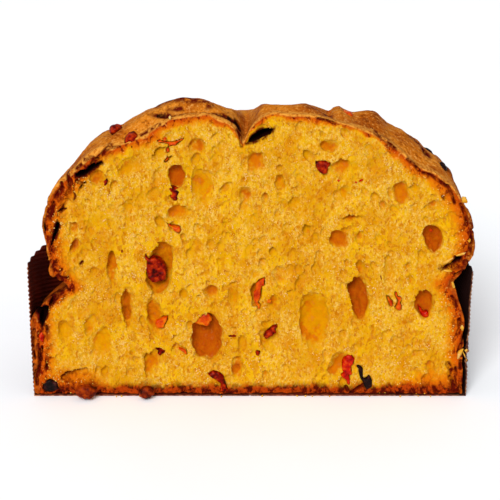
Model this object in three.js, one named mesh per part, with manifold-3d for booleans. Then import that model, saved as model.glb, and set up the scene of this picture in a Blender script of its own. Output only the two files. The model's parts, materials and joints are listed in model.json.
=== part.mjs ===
// Half of a low panettone in its paper case, cut through the middle.
// Millimetres. +Z is up, the cut face looks along -Y, +X is to the right of someone facing it.
// The origin is under the middle of the whole piece's box, on the surface that it stands on.

import * as THREE from "three";
import { mergeVertices } from "three/addons/utils/BufferGeometryUtils.js";
import Module from "manifold-3d";

// Driving dimensions

const CASE_BASE_RADIUS = 104.3;
const CASE_RIM_RADIUS = 105.0;
const CASE_RIM_HEIGHT = 65.4;
const CASE_RIM_TILT = 1.4;
const PAPER_THICKNESS = 0.9;
const RIB_PITCH = 2.2;
const RIB_DEPTH = 0.4;
const CLEARANCE = 0.35;
const LOAF_FLOOR = PAPER_THICKNESS + CLEARANCE;

// The crust outline on the cut face, from the base to the top: distance from the axis, height.
// The two lists run side by side, so that the same entry of both is the same feature.
const RIGHT_OUTLINE = [
  [101.8, LOAF_FLOOR], // foot
  [102.3, 9],
  [101.3, 20],
  [101.9, 31],
  [101.2, 42],
  [98.9, 49],
  [95.4, 54.6],
  [93.2, 58.2], // waist, where the dome rose over the case
  [96.2, 60.8],
  [100.2, 64],
  [102.4, 69],
  [104.0, 76], // widest part of the dome
  [103.9, 85],
  [100.6, 95],
  [94.8, 104],
  [86.0, 111.2],
  [77.5, 115.2],
  [68.0, 123.6],
  [57.0, 131],
  [42.0, 136],
  [25.0, 139.2],
  [11.0, 140.6],
  [0.0, 141],
];
const LEFT_OUTLINE = [
  [102.0, LOAF_FLOOR],
  [102.3, 9],
  [102.4, 20],
  [102.6, 31],
  [102.3, 41], // lip of crust that leans on the paper
  [99.0, 45.8],
  [92.0, 51.4],
  [85.5, 54.8], // waist
  [88.8, 58.9],
  [92.6, 60.4],
  [94.4, 67],
  [95.9, 76],
  [97.3, 84.5],
  [95.3, 94.5],
  [91.0, 104],
  [83.5, 112.3],
  [73.5, 121.5],
  [61.5, 127.2],
  [50.2, 133.6],
  [36.4, 140.4],
  [22.0, 142],
  [11.0, 141.6],
  [0.0, 141],
];
const OUTLINE_ROWS = 42;
const LOAF_SEGMENTS = 64;
const CASE_SEGMENTS = 40;

// Low swells of the crust, in mm
const SWELL_ABOVE_CASE = 0.9;
const SWELL_IN_CASE = 0.2;

// The knife pressed the crust down along the cut, so the shoulders stand fuller a little way behind it,
// while the crown between the opened scores sinks
const PRESSED_STRIP = 32;
const RIGHT_SHOULDER = { rise: 8, height: 118, spread: 21 };
const LEFT_SHOULDER = { rise: 3.6, height: 129, spread: 16 };
const CROWN = { x: 7, y: 46, radius: 46, sink: 8.5 };

// Blisters of the crust: azimuth in degrees, height, radius, rise
const BLISTERS = [
  [9, 112, 7, 1.8],
  [22, 131, 9, 3.2],
  [32, 136, 6, 2],
  [141, 141.3, 12, 3.6], // the flap left of the score stands up
  [152, 117, 8, 1.8],
  [75, 122, 9, 2.2],
  [112, 108, 8, 2],
];

// The score that opened in the oven: it crosses the cut face near the axis and runs back over the dome
const SCORE = { x: -4.1, depth: 17.4, fade: 48, length: 90, rightWidth: 5, leftWidth: 3.4, widening: 24 };
const SIDE_SCORE = { y: 6.5, left: -50, right: -6, depth: 3.2, halfWidth: 2.6 };

// Large pores that the cut opened: x, z, half width, half height, lean in degrees
const PORES = [
  [-70, 109, 3.7, 3.8, 0],
  [-53, 115.5, 6.8, 4.6, 25],
  [-33.7, 110.5, 4.2, 6, 0],
  [-33, 91, 5, 5.4, 20],
  [-72, 85.5, 3.4, 5.4, 0],
  [-21, 104, 6, 10.5, 0],
  [-13, 119, 3.7, 4.2, 0],
  [4, 116, 4.6, 6.2, -15],
  [-2, 100.5, 2.9, 4.5, 0],
  [14.5, 104, 2.9, 6, 12],
  [42, 114.6, 4.6, 4.3, 0],
  [70.5, 101.5, 4.3, 7.2, 15],
  [45.5, 99, 6, 4.4, 0],
  [85.5, 79.5, 4.8, 7.4, 15],
  [42.5, 79, 5, 4.9, 0],
  [52, 50.5, 4.8, 12, 8],
  [83, 47, 4.4, 8.6, 8],
  [66.5, 63.7, 3.3, 7, 0],
  [82, 20, 5.2, 4, 0],
  [41.5, 15.2, 4.2, 7, -20],
  [32.5, 38.5, 8, 15.5, 5],
  [13, 28.2, 6.2, 7, 30],
  [-20.5, 30.7, 7.6, 12.3, 0],
  [-45, 16.5, 4.3, 7.8, -12],
  [-44.2, 39.5, 4.5, 9.6, 8],
  [-42, 64.7, 6, 14.4, -8],
  [-57.5, 45.6, 2.9, 10, 0],
  [-76.2, 36, 3, 6.6, -25],
  [-70.8, 26.6, 6, 8.6, 0],
  [-84.5, 10.2, 6.6, 3.1, 18],
];
const PORE_DEPTH = 0.9; // of the mean half size

// Slits and blisters under the crust, in the same terms
const SLITS = [
  [-97.4, 40.5, 2.2, 6.6, -18],
  [-89.5, 50, 5.4, 1.1, 38],
  [93.5, 67.4, 5.6, 1.2, 30],
  [-74.5, 113.4, 7.4, 1.1, 30],
  [5, 129, 7.4, 2.5, 27],
];
const SLIT_DEPTH = 7;

// Fruit that the cut shows: name, kind, x, z, half width, half height, how far its middle lies behind the face
const CUT_FRUIT = [
  ["raisin_heart", "raisin", -44.7, 64.7, 4.9, 6, 2.6],
  ["peel_upper", "peel", -35.4, 85, 3.5, 2.9, 1.4],
  ["peel_lower", "peel", -41.9, 37.9, 3.3, 3.3, 2.2],
  ["cherry_low", "cherry", 47.1, 15.2, 3.6, 6.6, 1.2],
  ["raisin_chimney", "raisin", -35.2, 102.1, 3.5, 4.1, 1.6],
  ["peel_cavity_rim", "peel", -22.4, 39.4, 3.8, 3.4, 4.4],
  ["peel_small", "peel", -33, 24, 2.9, 3.6, 1.8],
  ["raisin_pit", "raisin", -44.6, 22.6, 3.8, 2.7, 3.6],
  ["raisin_base", "raisin", -16.4, 8.9, 4.6, 4.9, 1.6],
  ["raisin_slant", "raisin", 9.4, 34.5, 4.3, 3.1, 2],
  ["peel_strip", "peel", 3.8, 52.1, 2.8, 7.5, 1.6],
  ["raisin_window", "raisin", 33.6, 115.1, 3.7, 3.8, 2.4],
  ["peel_right", "peel", 68.2, 49.6, 3.8, 5.5, 1.8],
  ["cherry_slot", "cherry", 82.2, 42.5, 2.4, 3.4, 3.6],
  ["raisin_burnt_right", "raisin", 55.9, 7, 3.1, 3.9, 1.2],
  ["raisin_burnt_left", "raisin", -96.9, 5.4, 4.5, 3.6, 1.2],
  ["raisin_under_crust", "raisin", -54.1, 126.2, 4.1, 3.8, 1.8],
  ["peel_streak", "peel", -38.6, 120.8, 3.2, 3.3, 1.8],
  ["raisin_foot_left", "raisin", -78.8, 4.3, 5.3, 3.9, -4.6],
  ["raisin_foot_middle", "raisin", -49.8, 3.8, 3.9, 3.4, -4],
];

// Fruit baked into the crust: name, kind, azimuth in degrees from +X, height, half width, half height
const CRUST_FRUIT = [
  ["raisin_skin_left", "raisin", 163, 127, 4.4, 3.4],
  ["peel_skin_top", "peel", 22, 136, 3.6, 2.3],
  ["raisin_skin_oval", "raisin", 21, 115, 5, 3],
  ["raisin_skin_shoulder", "raisin", 10.5, 110, 3.3, 2.9],
  ["raisin_back_right", "raisin", 58, 118, 4.4, 3.2],
  ["raisin_back_middle", "raisin", 96, 100, 4.8, 3.6],
  ["peel_back", "peel", 118, 127, 3.6, 2.6],
  ["raisin_back_left", "raisin", 139, 92, 4.2, 3.4],
];
const FRUIT_ROUNDNESS = { raisin: 2, cherry: 2.2, peel: 3.4 };
const FRUIT_LUMPS = { raisin: 0.1, cherry: 0.05, peel: 0.04 };
const FRUIT_THICKNESS = 0.85; // of the smaller half size

const COLOURS = {
  loaf: new THREE.Color("#d9a021"),
  paper_case: new THREE.Color("#3d1a0c"),
  raisin: new THREE.Color("#4d130b"),
  peel: new THREE.Color("#e0701a"),
  cherry: new THREE.Color("#c9200f"),
};

const wasm = await Module();
wasm.setup();

// A closed geometry as a solid for the boolean cuts
function solidOf(geometry) {
  const bare = new THREE.BufferGeometry();
  const source = geometry.index ? geometry.toNonIndexed() : geometry;
  bare.setAttribute("position", source.getAttribute("position"));
  const merged = mergeVertices(bare, 1e-3);
  const mesh = new wasm.Mesh({
    numProp: 3,
    vertProperties: merged.attributes.position.array,
    triVerts: new Uint32Array(merged.index.array),
  });
  return new wasm.Manifold(mesh);
}

// The largest body of a solid as flat-shaded geometry: crumbs that the cuts set free are dropped
function geometryOf(solid) {
  const bodies = solid.decompose();
  bodies.sort((a, b) => b.volume() - a.volume());
  const mesh = bodies[0].getMesh();
  const geometry = new THREE.BufferGeometry();
  geometry.setAttribute("position", new THREE.BufferAttribute(mesh.vertProperties.slice(), 3));
  geometry.setIndex(new THREE.BufferAttribute(mesh.triVerts.slice(), 1));
  const flat = geometry.toNonIndexed();
  flat.computeVertexNormals();
  return flat;
}

function moveVertices(geometry, move) {
  const position = geometry.getAttribute("position");
  const point = new THREE.Vector3();
  for (let i = 0; i < position.count; i++) {
    point.fromBufferAttribute(position, i);
    move(point);
    position.setXYZ(i, point.x, point.y, point.z);
  }
  return geometry;
}

// A smooth field between -1 and 1, with swells about 60/scale mm long
function swell(point, scale, phase) {
  const x = point.x * 0.1 * scale;
  const y = point.y * 0.1 * scale;
  const z = point.z * 0.1 * scale;
  const slow = Math.sin(x + 1.7 * y + phase) * Math.sin(1.3 * y - z + 2.1 * phase);
  const quick = Math.sin(2.3 * x - 1.1 * z + 3.3 * phase) * Math.sin(1.9 * y + 2.2 * z - phase);
  return 0.6 * slow + 0.4 * quick;
}

// A solid that holds everything behind the cut plane
function behindCut() {
  const size = 400;
  const block = new THREE.BoxGeometry(size, size, size);
  block.translate(0, size / 2, 0);
  return solidOf(block);
}

function outlineCurve(outline) {
  return new THREE.SplineCurve(outline.map(([r, z]) => new THREE.Vector2(r, z)));
}

const rightCurve = outlineCurve(RIGHT_OUTLINE);
const leftCurve = outlineCurve(LEFT_OUTLINE);

function bell(x) {
  return Math.exp(-x * x);
}

// The middles of the blisters on the plain outline
const blisterSpots = BLISTERS.map(([degrees, height, radius, rise]) => {
  const azimuth = THREE.MathUtils.degToRad(degrees);
  const share = shareAtHeight((t) => outlinePoint(azimuth, t).z, height);
  return { spot: outlinePoint(azimuth, share), radius, rise };
});

// The plain outline at an azimuth in radians from +X, by the share of the way from the foot to the top
function outlinePoint(azimuth, share) {
  const toLeft = (1 - Math.cos(azimuth)) / 2;
  const section = rightCurve.getPoint(share).lerp(leftCurve.getPoint(share), toLeft);
  return new THREE.Vector3(section.x * Math.cos(azimuth), section.x * Math.sin(azimuth), section.y);
}

// The share at which a height is reached, above the widest part
function shareAtHeight(heightAt, height) {
  let low = 0.5;
  let high = 1;
  for (let i = 0; i < 24; i++) {
    const middle = (low + high) / 2;
    if (heightAt(middle) < height) low = middle;
    else high = middle;
  }
  return (low + high) / 2;
}

// The same point on the real crust, with its swells, full shoulders, sunken crown and blisters
function crustPoint(azimuth, share) {
  const point = outlinePoint(azimuth, share);
  const toLeft = (1 - Math.cos(azimuth)) / 2;
  const height = SWELL_ABOVE_CASE * THREE.MathUtils.smoothstep(point.z, 50, 75) + SWELL_IN_CASE;
  const outward = new THREE.Vector3(point.x, point.y, point.z - 60).normalize();
  if (point.z < 50) outward.z = 0;
  const onAxis = THREE.MathUtils.smoothstep(Math.hypot(point.x, point.y), 0, 12);
  let rise = height * onAxis * swell(point, 1.2, 0.7);
  const behind = THREE.MathUtils.smoothstep(point.y, 0, PRESSED_STRIP);
  for (const [shoulder, share] of [[RIGHT_SHOULDER, 1 - toLeft], [LEFT_SHOULDER, toLeft]]) {
    rise += behind * share * shoulder.rise * bell((point.z - shoulder.height) / shoulder.spread);
  }
  rise -= behind * CROWN.sink * bell(Math.hypot(point.x - CROWN.x, point.y - CROWN.y) / CROWN.radius);
  for (const blister of blisterSpots) {
    rise += blister.rise * bell(point.distanceTo(blister.spot) / blister.radius);
  }
  return point.addScaledVector(outward, rise);
}

// The whole loaf before it is cut: the rows of a lathe moved out to the crust
function wholeLoaf() {
  const rows = [new THREE.Vector2(0, LOAF_FLOOR)];
  for (let i = 0; i <= OUTLINE_ROWS; i++) rows.push(rightCurve.getPoint(i / OUTLINE_ROWS));
  rows[rows.length - 1].x = 0;
  const lathe = new THREE.LatheGeometry(rows, LOAF_SEGMENTS);
  const position = lathe.getAttribute("position");
  const rowCount = rows.length;
  for (let i = 0; i < position.count; i++) {
    const row = i % rowCount;
    const azimuth = (Math.floor(i / rowCount) % LOAF_SEGMENTS) * ((2 * Math.PI) / LOAF_SEGMENTS);
    if (row === 0) {
      position.setXYZ(i, 0, 0, LOAF_FLOOR);
      continue;
    }
    const point = crustPoint(azimuth, (row - 1) / OUTLINE_ROWS);
    if (row === 1) point.z = LOAF_FLOOR;
    position.setXYZ(i, point.x, point.y, point.z);
  }
  return solidOf(lathe);
}

// The V of the score, extruded back over the dome and lifted as it fades
function scoreWedge() {
  const shape = new THREE.Shape();
  const reach = 15;
  const top = SCORE.depth + 30;
  shape.moveTo(-reach, top);
  for (const x of [-12, -8, -5, -2.8, -1.3]) {
    shape.lineTo(x, SCORE.depth * (1 - Math.exp(x / SCORE.leftWidth)));
  }
  shape.lineTo(0, 0);
  for (const x of [1.4, 2.8, 5, 8, 11.5]) {
    shape.lineTo(x, SCORE.depth * (1 - Math.exp(-x / SCORE.rightWidth)));
  }
  shape.lineTo(reach + 3, top);
  const wedge = new THREE.ExtrudeGeometry(shape, {
    depth: SCORE.length + 4,
    steps: 11,
    bevelEnabled: false,
  });
  wedge.rotateX(Math.PI / 2);
  wedge.translate(SCORE.x, SCORE.length, 141.2 - SCORE.depth);
  moveVertices(wedge, (point) => {
    const back = Math.max(point.y, 0);
    const filled = 1 - Math.exp(-back / SCORE.fade);
    const radius = Math.hypot(point.x, back);
    const domeDrop = 0.0014 * radius * radius;
    point.x = SCORE.x + (point.x - SCORE.x) * (1 + back / SCORE.widening) + 2.5 * Math.sin(back / 14);
    point.z += SCORE.depth * filled - domeDrop;
  });
  return solidOf(wedge);
}

// The shallow arm of the score that runs left just behind the cut face and lifts a flap of crust
function sideScoreWedge() {
  const length = SIDE_SCORE.right - SIDE_SCORE.left;
  const shape = new THREE.Shape();
  shape.moveTo(-SIDE_SCORE.halfWidth, 12);
  shape.lineTo(-SIDE_SCORE.halfWidth * 0.8, SIDE_SCORE.depth);
  shape.lineTo(0, 0);
  shape.lineTo(SIDE_SCORE.halfWidth * 0.8, SIDE_SCORE.depth);
  shape.lineTo(SIDE_SCORE.halfWidth, 12);
  const wedge = new THREE.ExtrudeGeometry(shape, { depth: length, steps: 6, bevelEnabled: false });
  wedge.rotateX(Math.PI / 2);
  wedge.rotateZ(Math.PI / 2);
  moveVertices(wedge, (point) => {
    const share = point.x / length;
    point.x += SIDE_SCORE.left;
    point.y += SIDE_SCORE.y;
    const rise = Math.max(-point.x - 22, 0);
    point.z += 142 - SIDE_SCORE.depth * Math.sin(Math.PI * (0.15 + 0.8 * share)) - 0.011 * rise * rise;
  });
  return solidOf(wedge);
}

function hollow([x, z, halfWidth, halfHeight, lean], depth) {
  const ball = new THREE.IcosahedronGeometry(1, 1);
  ball.scale(halfWidth, depth, halfHeight);
  ball.rotateY(THREE.MathUtils.degToRad(-lean));
  ball.translate(x, 0.12 * depth, z);
  return solidOf(ball);
}

// A lumpy ball whose corners are squared for cut peel. grow widens it all round.
function fruitGeometry(kind, halfWidth, halfDepth, halfHeight, phase, grow) {
  const power = FRUIT_ROUNDNESS[kind];
  const ball = new THREE.IcosahedronGeometry(1, 1);
  moveVertices(ball, (point) => {
    const squared = Math.abs(point.x) ** power + Math.abs(point.y) ** power + Math.abs(point.z) ** power;
    const stretch = squared ** (-1 / power);
    const lump = 1 + FRUIT_LUMPS[kind] * swell(point, 22, phase);
    point.multiplyScalar(stretch * lump);
    point.x *= halfWidth + grow;
    point.y *= halfDepth + grow;
    point.z *= halfHeight + grow;
  });
  return ball;
}

// Every piece of fruit as its name, kind, centre and a function that makes it at a given growth
function fruitPieces() {
  const pieces = [];
  CUT_FRUIT.forEach(([name, kind, x, z, halfWidth, halfHeight, behind], i) => {
    const halfDepth = FRUIT_THICKNESS * Math.min(halfWidth, halfHeight);
    const make = (grow) => {
      const body = fruitGeometry(kind, halfWidth, halfDepth, halfHeight, i, grow);
      body.translate(x, behind, z);
      return body;
    };
    pieces.push({ name, kind, make });
  });
  CRUST_FRUIT.forEach(([name, kind, degrees, height, halfWidth, halfHeight], i) => {
    const azimuth = THREE.MathUtils.degToRad(degrees);
    const share = shareAtHeight((t) => crustPoint(azimuth, t).z, height);
    const spot = crustPoint(azimuth, share);
    const uphill = crustPoint(azimuth, share + 0.01).sub(crustPoint(azimuth, share - 0.01));
    const around = crustPoint(azimuth + 0.03, share).sub(crustPoint(azimuth - 0.03, share));
    const outward = around.clone().cross(uphill).normalize();
    const sideways = outward.clone().cross(uphill).normalize();
    const along = sideways.clone().cross(outward).normalize();
    const turn = new THREE.Matrix4().makeBasis(sideways, outward, along);
    turn.setPosition(spot.addScaledVector(outward, -0.3 * halfHeight));
    const make = (grow) => {
      const body = fruitGeometry(kind, halfWidth, 0.8 * halfHeight, halfHeight, i + 40, grow);
      return body.applyMatrix4(turn);
    };
    pieces.push({ name, kind, make });
  });
  return pieces;
}

function loafSolid(pieces) {
  let loaf = wholeLoaf().subtract(scoreWedge()).subtract(sideScoreWedge());
  loaf = loaf.intersect(behindCut());
  for (const pore of PORES) {
    loaf = loaf.subtract(hollow(pore, PORE_DEPTH * ((pore[2] + pore[3]) / 2)));
  }
  for (const slit of SLITS) loaf = loaf.subtract(hollow(slit, SLIT_DEPTH));
  for (const piece of pieces) loaf = loaf.subtract(solidOf(piece.make(CLEARANCE)));
  return loaf;
}

// The case: a flat base and a near upright wall with ribs on its outside, cut with the loaf
function caseSolid() {
  const baseInner = CASE_BASE_RADIUS - PAPER_THICKNESS;
  const rimInner = CASE_RIM_RADIUS - PAPER_THICKNESS;
  const ribs = Math.floor(CASE_RIM_HEIGHT / RIB_PITCH);
  const profile = [new THREE.Vector2(0, 0), new THREE.Vector2(CASE_BASE_RADIUS - RIB_DEPTH, 0)];
  for (let i = 0; i < ribs; i++) {
    const crest = (i + 0.5) / ribs;
    const valley = (i + 1) / ribs;
    const flare = CASE_RIM_RADIUS - CASE_BASE_RADIUS;
    profile.push(new THREE.Vector2(CASE_BASE_RADIUS + flare * crest, CASE_RIM_HEIGHT * crest));
    profile.push(new THREE.Vector2(CASE_BASE_RADIUS + flare * valley - RIB_DEPTH, CASE_RIM_HEIGHT * valley));
  }
  profile.push(new THREE.Vector2(rimInner, CASE_RIM_HEIGHT));
  profile.push(new THREE.Vector2(baseInner, PAPER_THICKNESS));
  profile.push(new THREE.Vector2(0, PAPER_THICKNESS));
  const lathe = new THREE.LatheGeometry(profile, CASE_SEGMENTS);
  lathe.rotateX(Math.PI / 2);
  moveVertices(lathe, (point) => {
    if (point.z <= PAPER_THICKNESS) return;
    const share = point.z / CASE_RIM_HEIGHT;
    point.z -= (CASE_RIM_TILT * share * share * point.x) / CASE_RIM_RADIUS;
  });
  return solidOf(lathe).intersect(behindCut());
}

function addNode(group, name, geometry, colour, roughness) {
  const material = new THREE.MeshStandardMaterial({ color: colour, roughness, metalness: 0 });
  const mesh = new THREE.Mesh(geometry, material);
  mesh.name = name;
  group.add(mesh);
}

const placed = new THREE.Group();
const pieces = fruitPieces();
addNode(placed, "loaf", geometryOf(loafSolid(pieces)), COLOURS.loaf, 0.8);
addNode(placed, "paper_case", geometryOf(caseSolid()), COLOURS.paper_case, 0.75);
for (const piece of pieces) {
  addNode(placed, piece.name, geometryOf(solidOf(piece.make(0))), COLOURS[piece.kind], 0.35);
}

// The whole piece moved so that the origin lies under the middle of its box
const box = new THREE.Box3().setFromObject(placed);
placed.position.set(-(box.min.x + box.max.x) / 2, -(box.min.y + box.max.y) / 2, -box.min.z);
const group = new THREE.Group();
group.add(placed);
export default group;
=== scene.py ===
import json
import math

import bmesh
import bpy
import numpy as np
from bpy.props import FloatProperty, FloatVectorProperty, IntProperty, PointerProperty
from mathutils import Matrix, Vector
from mathutils.bvhtree import BVHTree

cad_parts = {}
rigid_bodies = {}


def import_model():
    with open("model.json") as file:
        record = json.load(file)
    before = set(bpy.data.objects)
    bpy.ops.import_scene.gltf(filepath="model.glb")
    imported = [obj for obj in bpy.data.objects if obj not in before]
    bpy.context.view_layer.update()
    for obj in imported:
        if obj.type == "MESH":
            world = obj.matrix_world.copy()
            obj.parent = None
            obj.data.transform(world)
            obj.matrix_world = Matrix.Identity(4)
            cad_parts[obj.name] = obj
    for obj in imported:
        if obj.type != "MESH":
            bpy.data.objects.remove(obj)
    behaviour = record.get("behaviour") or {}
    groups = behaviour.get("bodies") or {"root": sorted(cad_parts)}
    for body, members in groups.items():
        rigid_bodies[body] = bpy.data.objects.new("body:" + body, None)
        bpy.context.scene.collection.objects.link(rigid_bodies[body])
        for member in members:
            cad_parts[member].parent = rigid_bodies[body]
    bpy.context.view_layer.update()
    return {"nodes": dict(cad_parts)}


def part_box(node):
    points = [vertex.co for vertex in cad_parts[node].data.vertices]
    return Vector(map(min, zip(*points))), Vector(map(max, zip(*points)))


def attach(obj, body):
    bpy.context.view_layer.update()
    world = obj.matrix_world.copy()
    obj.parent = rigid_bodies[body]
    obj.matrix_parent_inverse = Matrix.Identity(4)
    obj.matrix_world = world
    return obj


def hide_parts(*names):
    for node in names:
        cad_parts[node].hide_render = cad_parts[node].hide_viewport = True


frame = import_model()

bl_info = {
    "name": "Panettone half",
    "version": (1, 0, 0),
    "blender": (4, 5, 0),
    "location": "View3D > Sidebar > Panettone",
    "description": "Half of a low fruit bread in its ribbed paper case, with its crumb, crust, fruit and crumbs",
    "category": "Add Mesh",
}

MM = 0.001
LOAF_BOX = [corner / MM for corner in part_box("loaf")]
CASE_BOX = [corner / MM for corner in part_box("paper_case")]
CUT_Y = LOAF_BOX[0].y
LOAF_FLOOR = LOAF_BOX[0].z
FRUIT_NODES = [name for name in frame["nodes"] if name not in ("loaf", "paper_case")]

# Places on the loaf are in millimetres from its axis on the cut face: x to the right, y behind the cut, z up.
# The crust is a distance from this middle of the cut face, by direction.
MIDDLE = np.array([0.0, 0.0, 60.0])
TABLE_STEP = 0.75
WALL_ELEVATION = -28.0

# Where the fine front of the loaf ends and the coarser back begins, with a short overlap
FRONT_DEPTH = 13.5
BACK_START = 11.0
# The front is made as slabs side by side, cut at these x
SLAB_EDGES = [-110, -64, -30, 1.5, 32, 63, 110]

# Pores that the cut opened: x, z, half width, half height, lean in degrees, and how dark their walls are, 0 to 1, which
# sets how deep they are carved and how much painted shade darkens their walls
PORES = [
    (-70.2, 108.8, 3.8, 3.9, 0, 0.7),
    (-53.2, 115.4, 6.9, 4.8, 25, 0.2),
    (-48, 112.5, 2.4, 2, 0, 0.7),
    (-33.7, 109.8, 4.2, 6.3, 0, 0.9),
    (-44, 101, 3.6, 3.8, 0, 0.2),
    (-42.5, 108.8, 3, 4.2, -30, 0.2),
    (-33, 91, 4.9, 5.2, 20, 0.5),
    (-72.3, 85.5, 3.3, 5.4, 0, 0.2),
    (-54.8, 93.3, 3.6, 6.2, 0, 0.2),
    (-20.8, 104, 6, 10.5, 0, 0.2),
    (-23.8, 124.5, 4, 3.7, 0, 0.7),
    (-12.9, 119, 3.7, 4.3, 0, 0.2),
    (4.1, 116, 4.6, 6.2, -15, 0.5),
    (-1.9, 100.6, 2.8, 4.4, 0, 0.7),
    (-1.9, 92.8, 3.2, 3.3, 0, 0.5),
    (8.3, 107, 1.8, 2.4, 0, 0.5),
    (14.4, 105.9, 2.7, 4.8, 15, 0.5),
    (16.2, 95.8, 1.9, 5.8, 10, 0.2),
    (41.9, 114.6, 4.6, 4.3, 0, 0.5),
    (37.1, 124.6, 4.5, 3.2, 0, 0.7),
    (70.4, 101.6, 4.2, 7.2, 15, 0.5),
    (84.5, 95.3, 4.6, 2.3, 25, 0.5),
    (56.6, 114.6, 2.3, 4.3, 0, 0.2),
    (45.4, 99.2, 6, 4.4, 0, 0.2),
    (85.6, 79.6, 4.7, 7.4, 15, 0.9),
    (89.5, 86, 3.6, 3.4, 0, 0.2),
    (42.6, 79.1, 5, 4.9, 0, 0.7),
    (52.1, 50.6, 4.8, 12.1, 8, 0.9),
    (83, 47.1, 4.3, 8.6, 8, 0.9),
    (66.4, 63.7, 3.3, 7, 0, 0.2),
    (75.8, 62.2, 1.4, 5, 15, 0.5),
    (87, 14.7, 2.2, 3, 10, 0.7),
    (82, 19.9, 5.2, 4, 0, 0.2),
    (41.3, 15.2, 3.8, 6.8, -20, 0.5),
    (32.4, 38.4, 8, 15.6, 5, 0.2),
    (12.9, 28.2, 6.2, 7.2, 30, 0.2),
    (-20.5, 30.7, 7.6, 12.3, 0, 0.9),
    (-45.1, 16.2, 4.3, 7.8, -12, 0.5),
    (-44.2, 39.4, 4.3, 9.7, 8, 0.5),
    (-34.5, 23.5, 2.9, 4.1, 20, 0.5),
    (-41.9, 64.7, 6, 14.4, -8, 0.5),
    (-57.4, 45.6, 2.8, 10, 0, 0.7),
    (-65, 63.7, 2.3, 11, 0, 0.5),
    (-87.8, 31.8, 4.3, 6.7, 0, 0.2),
    (-76.2, 35.9, 2.9, 6.6, -25, 0.5),
    (-70.8, 26.6, 6.1, 8.7, 0, 0.2),
    (-84.7, 10, 6.6, 3, 18, 0.9),
    (3.8, 52.1, 2.8, 8, -5, 0.5),
    (15.1, 61.2, 3.8, 6, 0, 0.2),
    (25.5, 59.2, 2.4, 8.5, -22, 0.2),
    (12.8, 49.1, 2.8, 3.5, 0, 0.5),
    (-6.2, 14.2, 2.9, 6.2, 0, 0.7),
    (-18, 52.6, 3.8, 4, 0, 0.7),
    (29, 82.1, 2.2, 2.4, 0, 0.5),
    (-24.8, 76.1, 2.8, 6.4, 0, 0.2),
    (23.2, 96.7, 4.2, 7.8, 10, 0.2),
    (46.6, 88.4, 5.6, 2.4, 0, 0.7),
    (-28.2, 64.7, 2.4, 4.5, 0, 0.2),
    (-7.1, 49.6, 2.8, 7.1, 0, 0.2),
    (-13.1, 77.1, 2.3, 4.4, 0, 0.2),
    (-82.5, 85.5, 1.9, 3.2, 0, 0.9),
    (-81.5, 76.6, 2.2, 4.3, -20, 0.9),
    (-77.4, 73.2, 1.9, 3, 0, 0.7),
    (-79, 66.2, 1.6, 2.2, 0, 0.9),
]
# Slits and blisters between the crumb and the crust: depth, how black their painted shade is, and their outline on the
# cut
SLITS = [
    (9.5, 1.0, [(-102.5, 43.3), (-100.1, 45.5), (-97.7, 46.7), (-95.7, 47.5), (-95.1, 46.1), (-95.6, 44.0),
                (-96.2, 42.0), (-97.1, 39.4), (-98.2, 36.9), (-99.0, 34.5), (-99.7, 36.4), (-100.4, 38.9),
                (-100.5, 41.6), (-101.4, 42.8)]),
    (4.5, 0.3, [(-95.7, 47.5), (-94.2, 50.1), (-92.3, 52.7), (-89.5, 54.5), (-88.3, 56.4), (-87.7, 57.4),
                (-86.9, 55.7), (-86.1, 54.6), (-88.6, 53.8), (-90.4, 51.6), (-92.4, 48.9), (-93.9, 46.3),
                (-95.1, 46.1)]),
    (6.0, 0.9, [(-97.2, 35.9), (-96.5, 34.8), (-96.7, 32.8), (-97.3, 33.8)]),
    (9.5, 1.0, [(89.1, 65.2), (91.7, 66.7), (94.4, 68.2), (95.9, 69.7), (96.2, 71.2), (99.5, 71.2), (99.3, 69.2),
                (96.8, 68.4), (94.9, 67.2), (92.2, 65.7), (89.9, 64.7)]),
    (9.5, 1.0, [(-80.8, 109.6), (-80.7, 111.5), (-78.3, 113.2), (-75.6, 113.6), (-74.6, 115.3), (-71.8, 116.3),
                (-68.5, 117.2), (-67.9, 116.3), (-70.5, 114.6), (-73.3, 112.7), (-75.6, 110.8), (-78.5, 109.6)]),
    (6.0, 1.0, [(-89.9, 88.9), (-88.8, 87.5), (-88.9, 85.0), (-90.2, 81.6), (-92.2, 77.1), (-93.7, 75.6),
                (-93.3, 79.1), (-91.7, 83.5), (-90.9, 87.0)]),
    (6.0, 1.0, [(-95.9, 89.4), (-95.3, 87.5), (-95.3, 84.5), (-95.8, 83.1), (-96.1, 86.0)]),
    (6.0, 1.0, [(102.6, 36.9), (103.3, 32.8), (102.2, 29.2), (100.9, 26.1), (101.2, 29.2), (101.8, 32.3)]),
    (9.5, 1.0, [(-1.8, 126.0), (0.8, 130.0), (4.3, 132.6), (8.1, 133.6), (11.0, 132.9), (9.6, 130.3), (5.9, 128.6),
                (2.6, 126.8)]),
]
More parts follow.
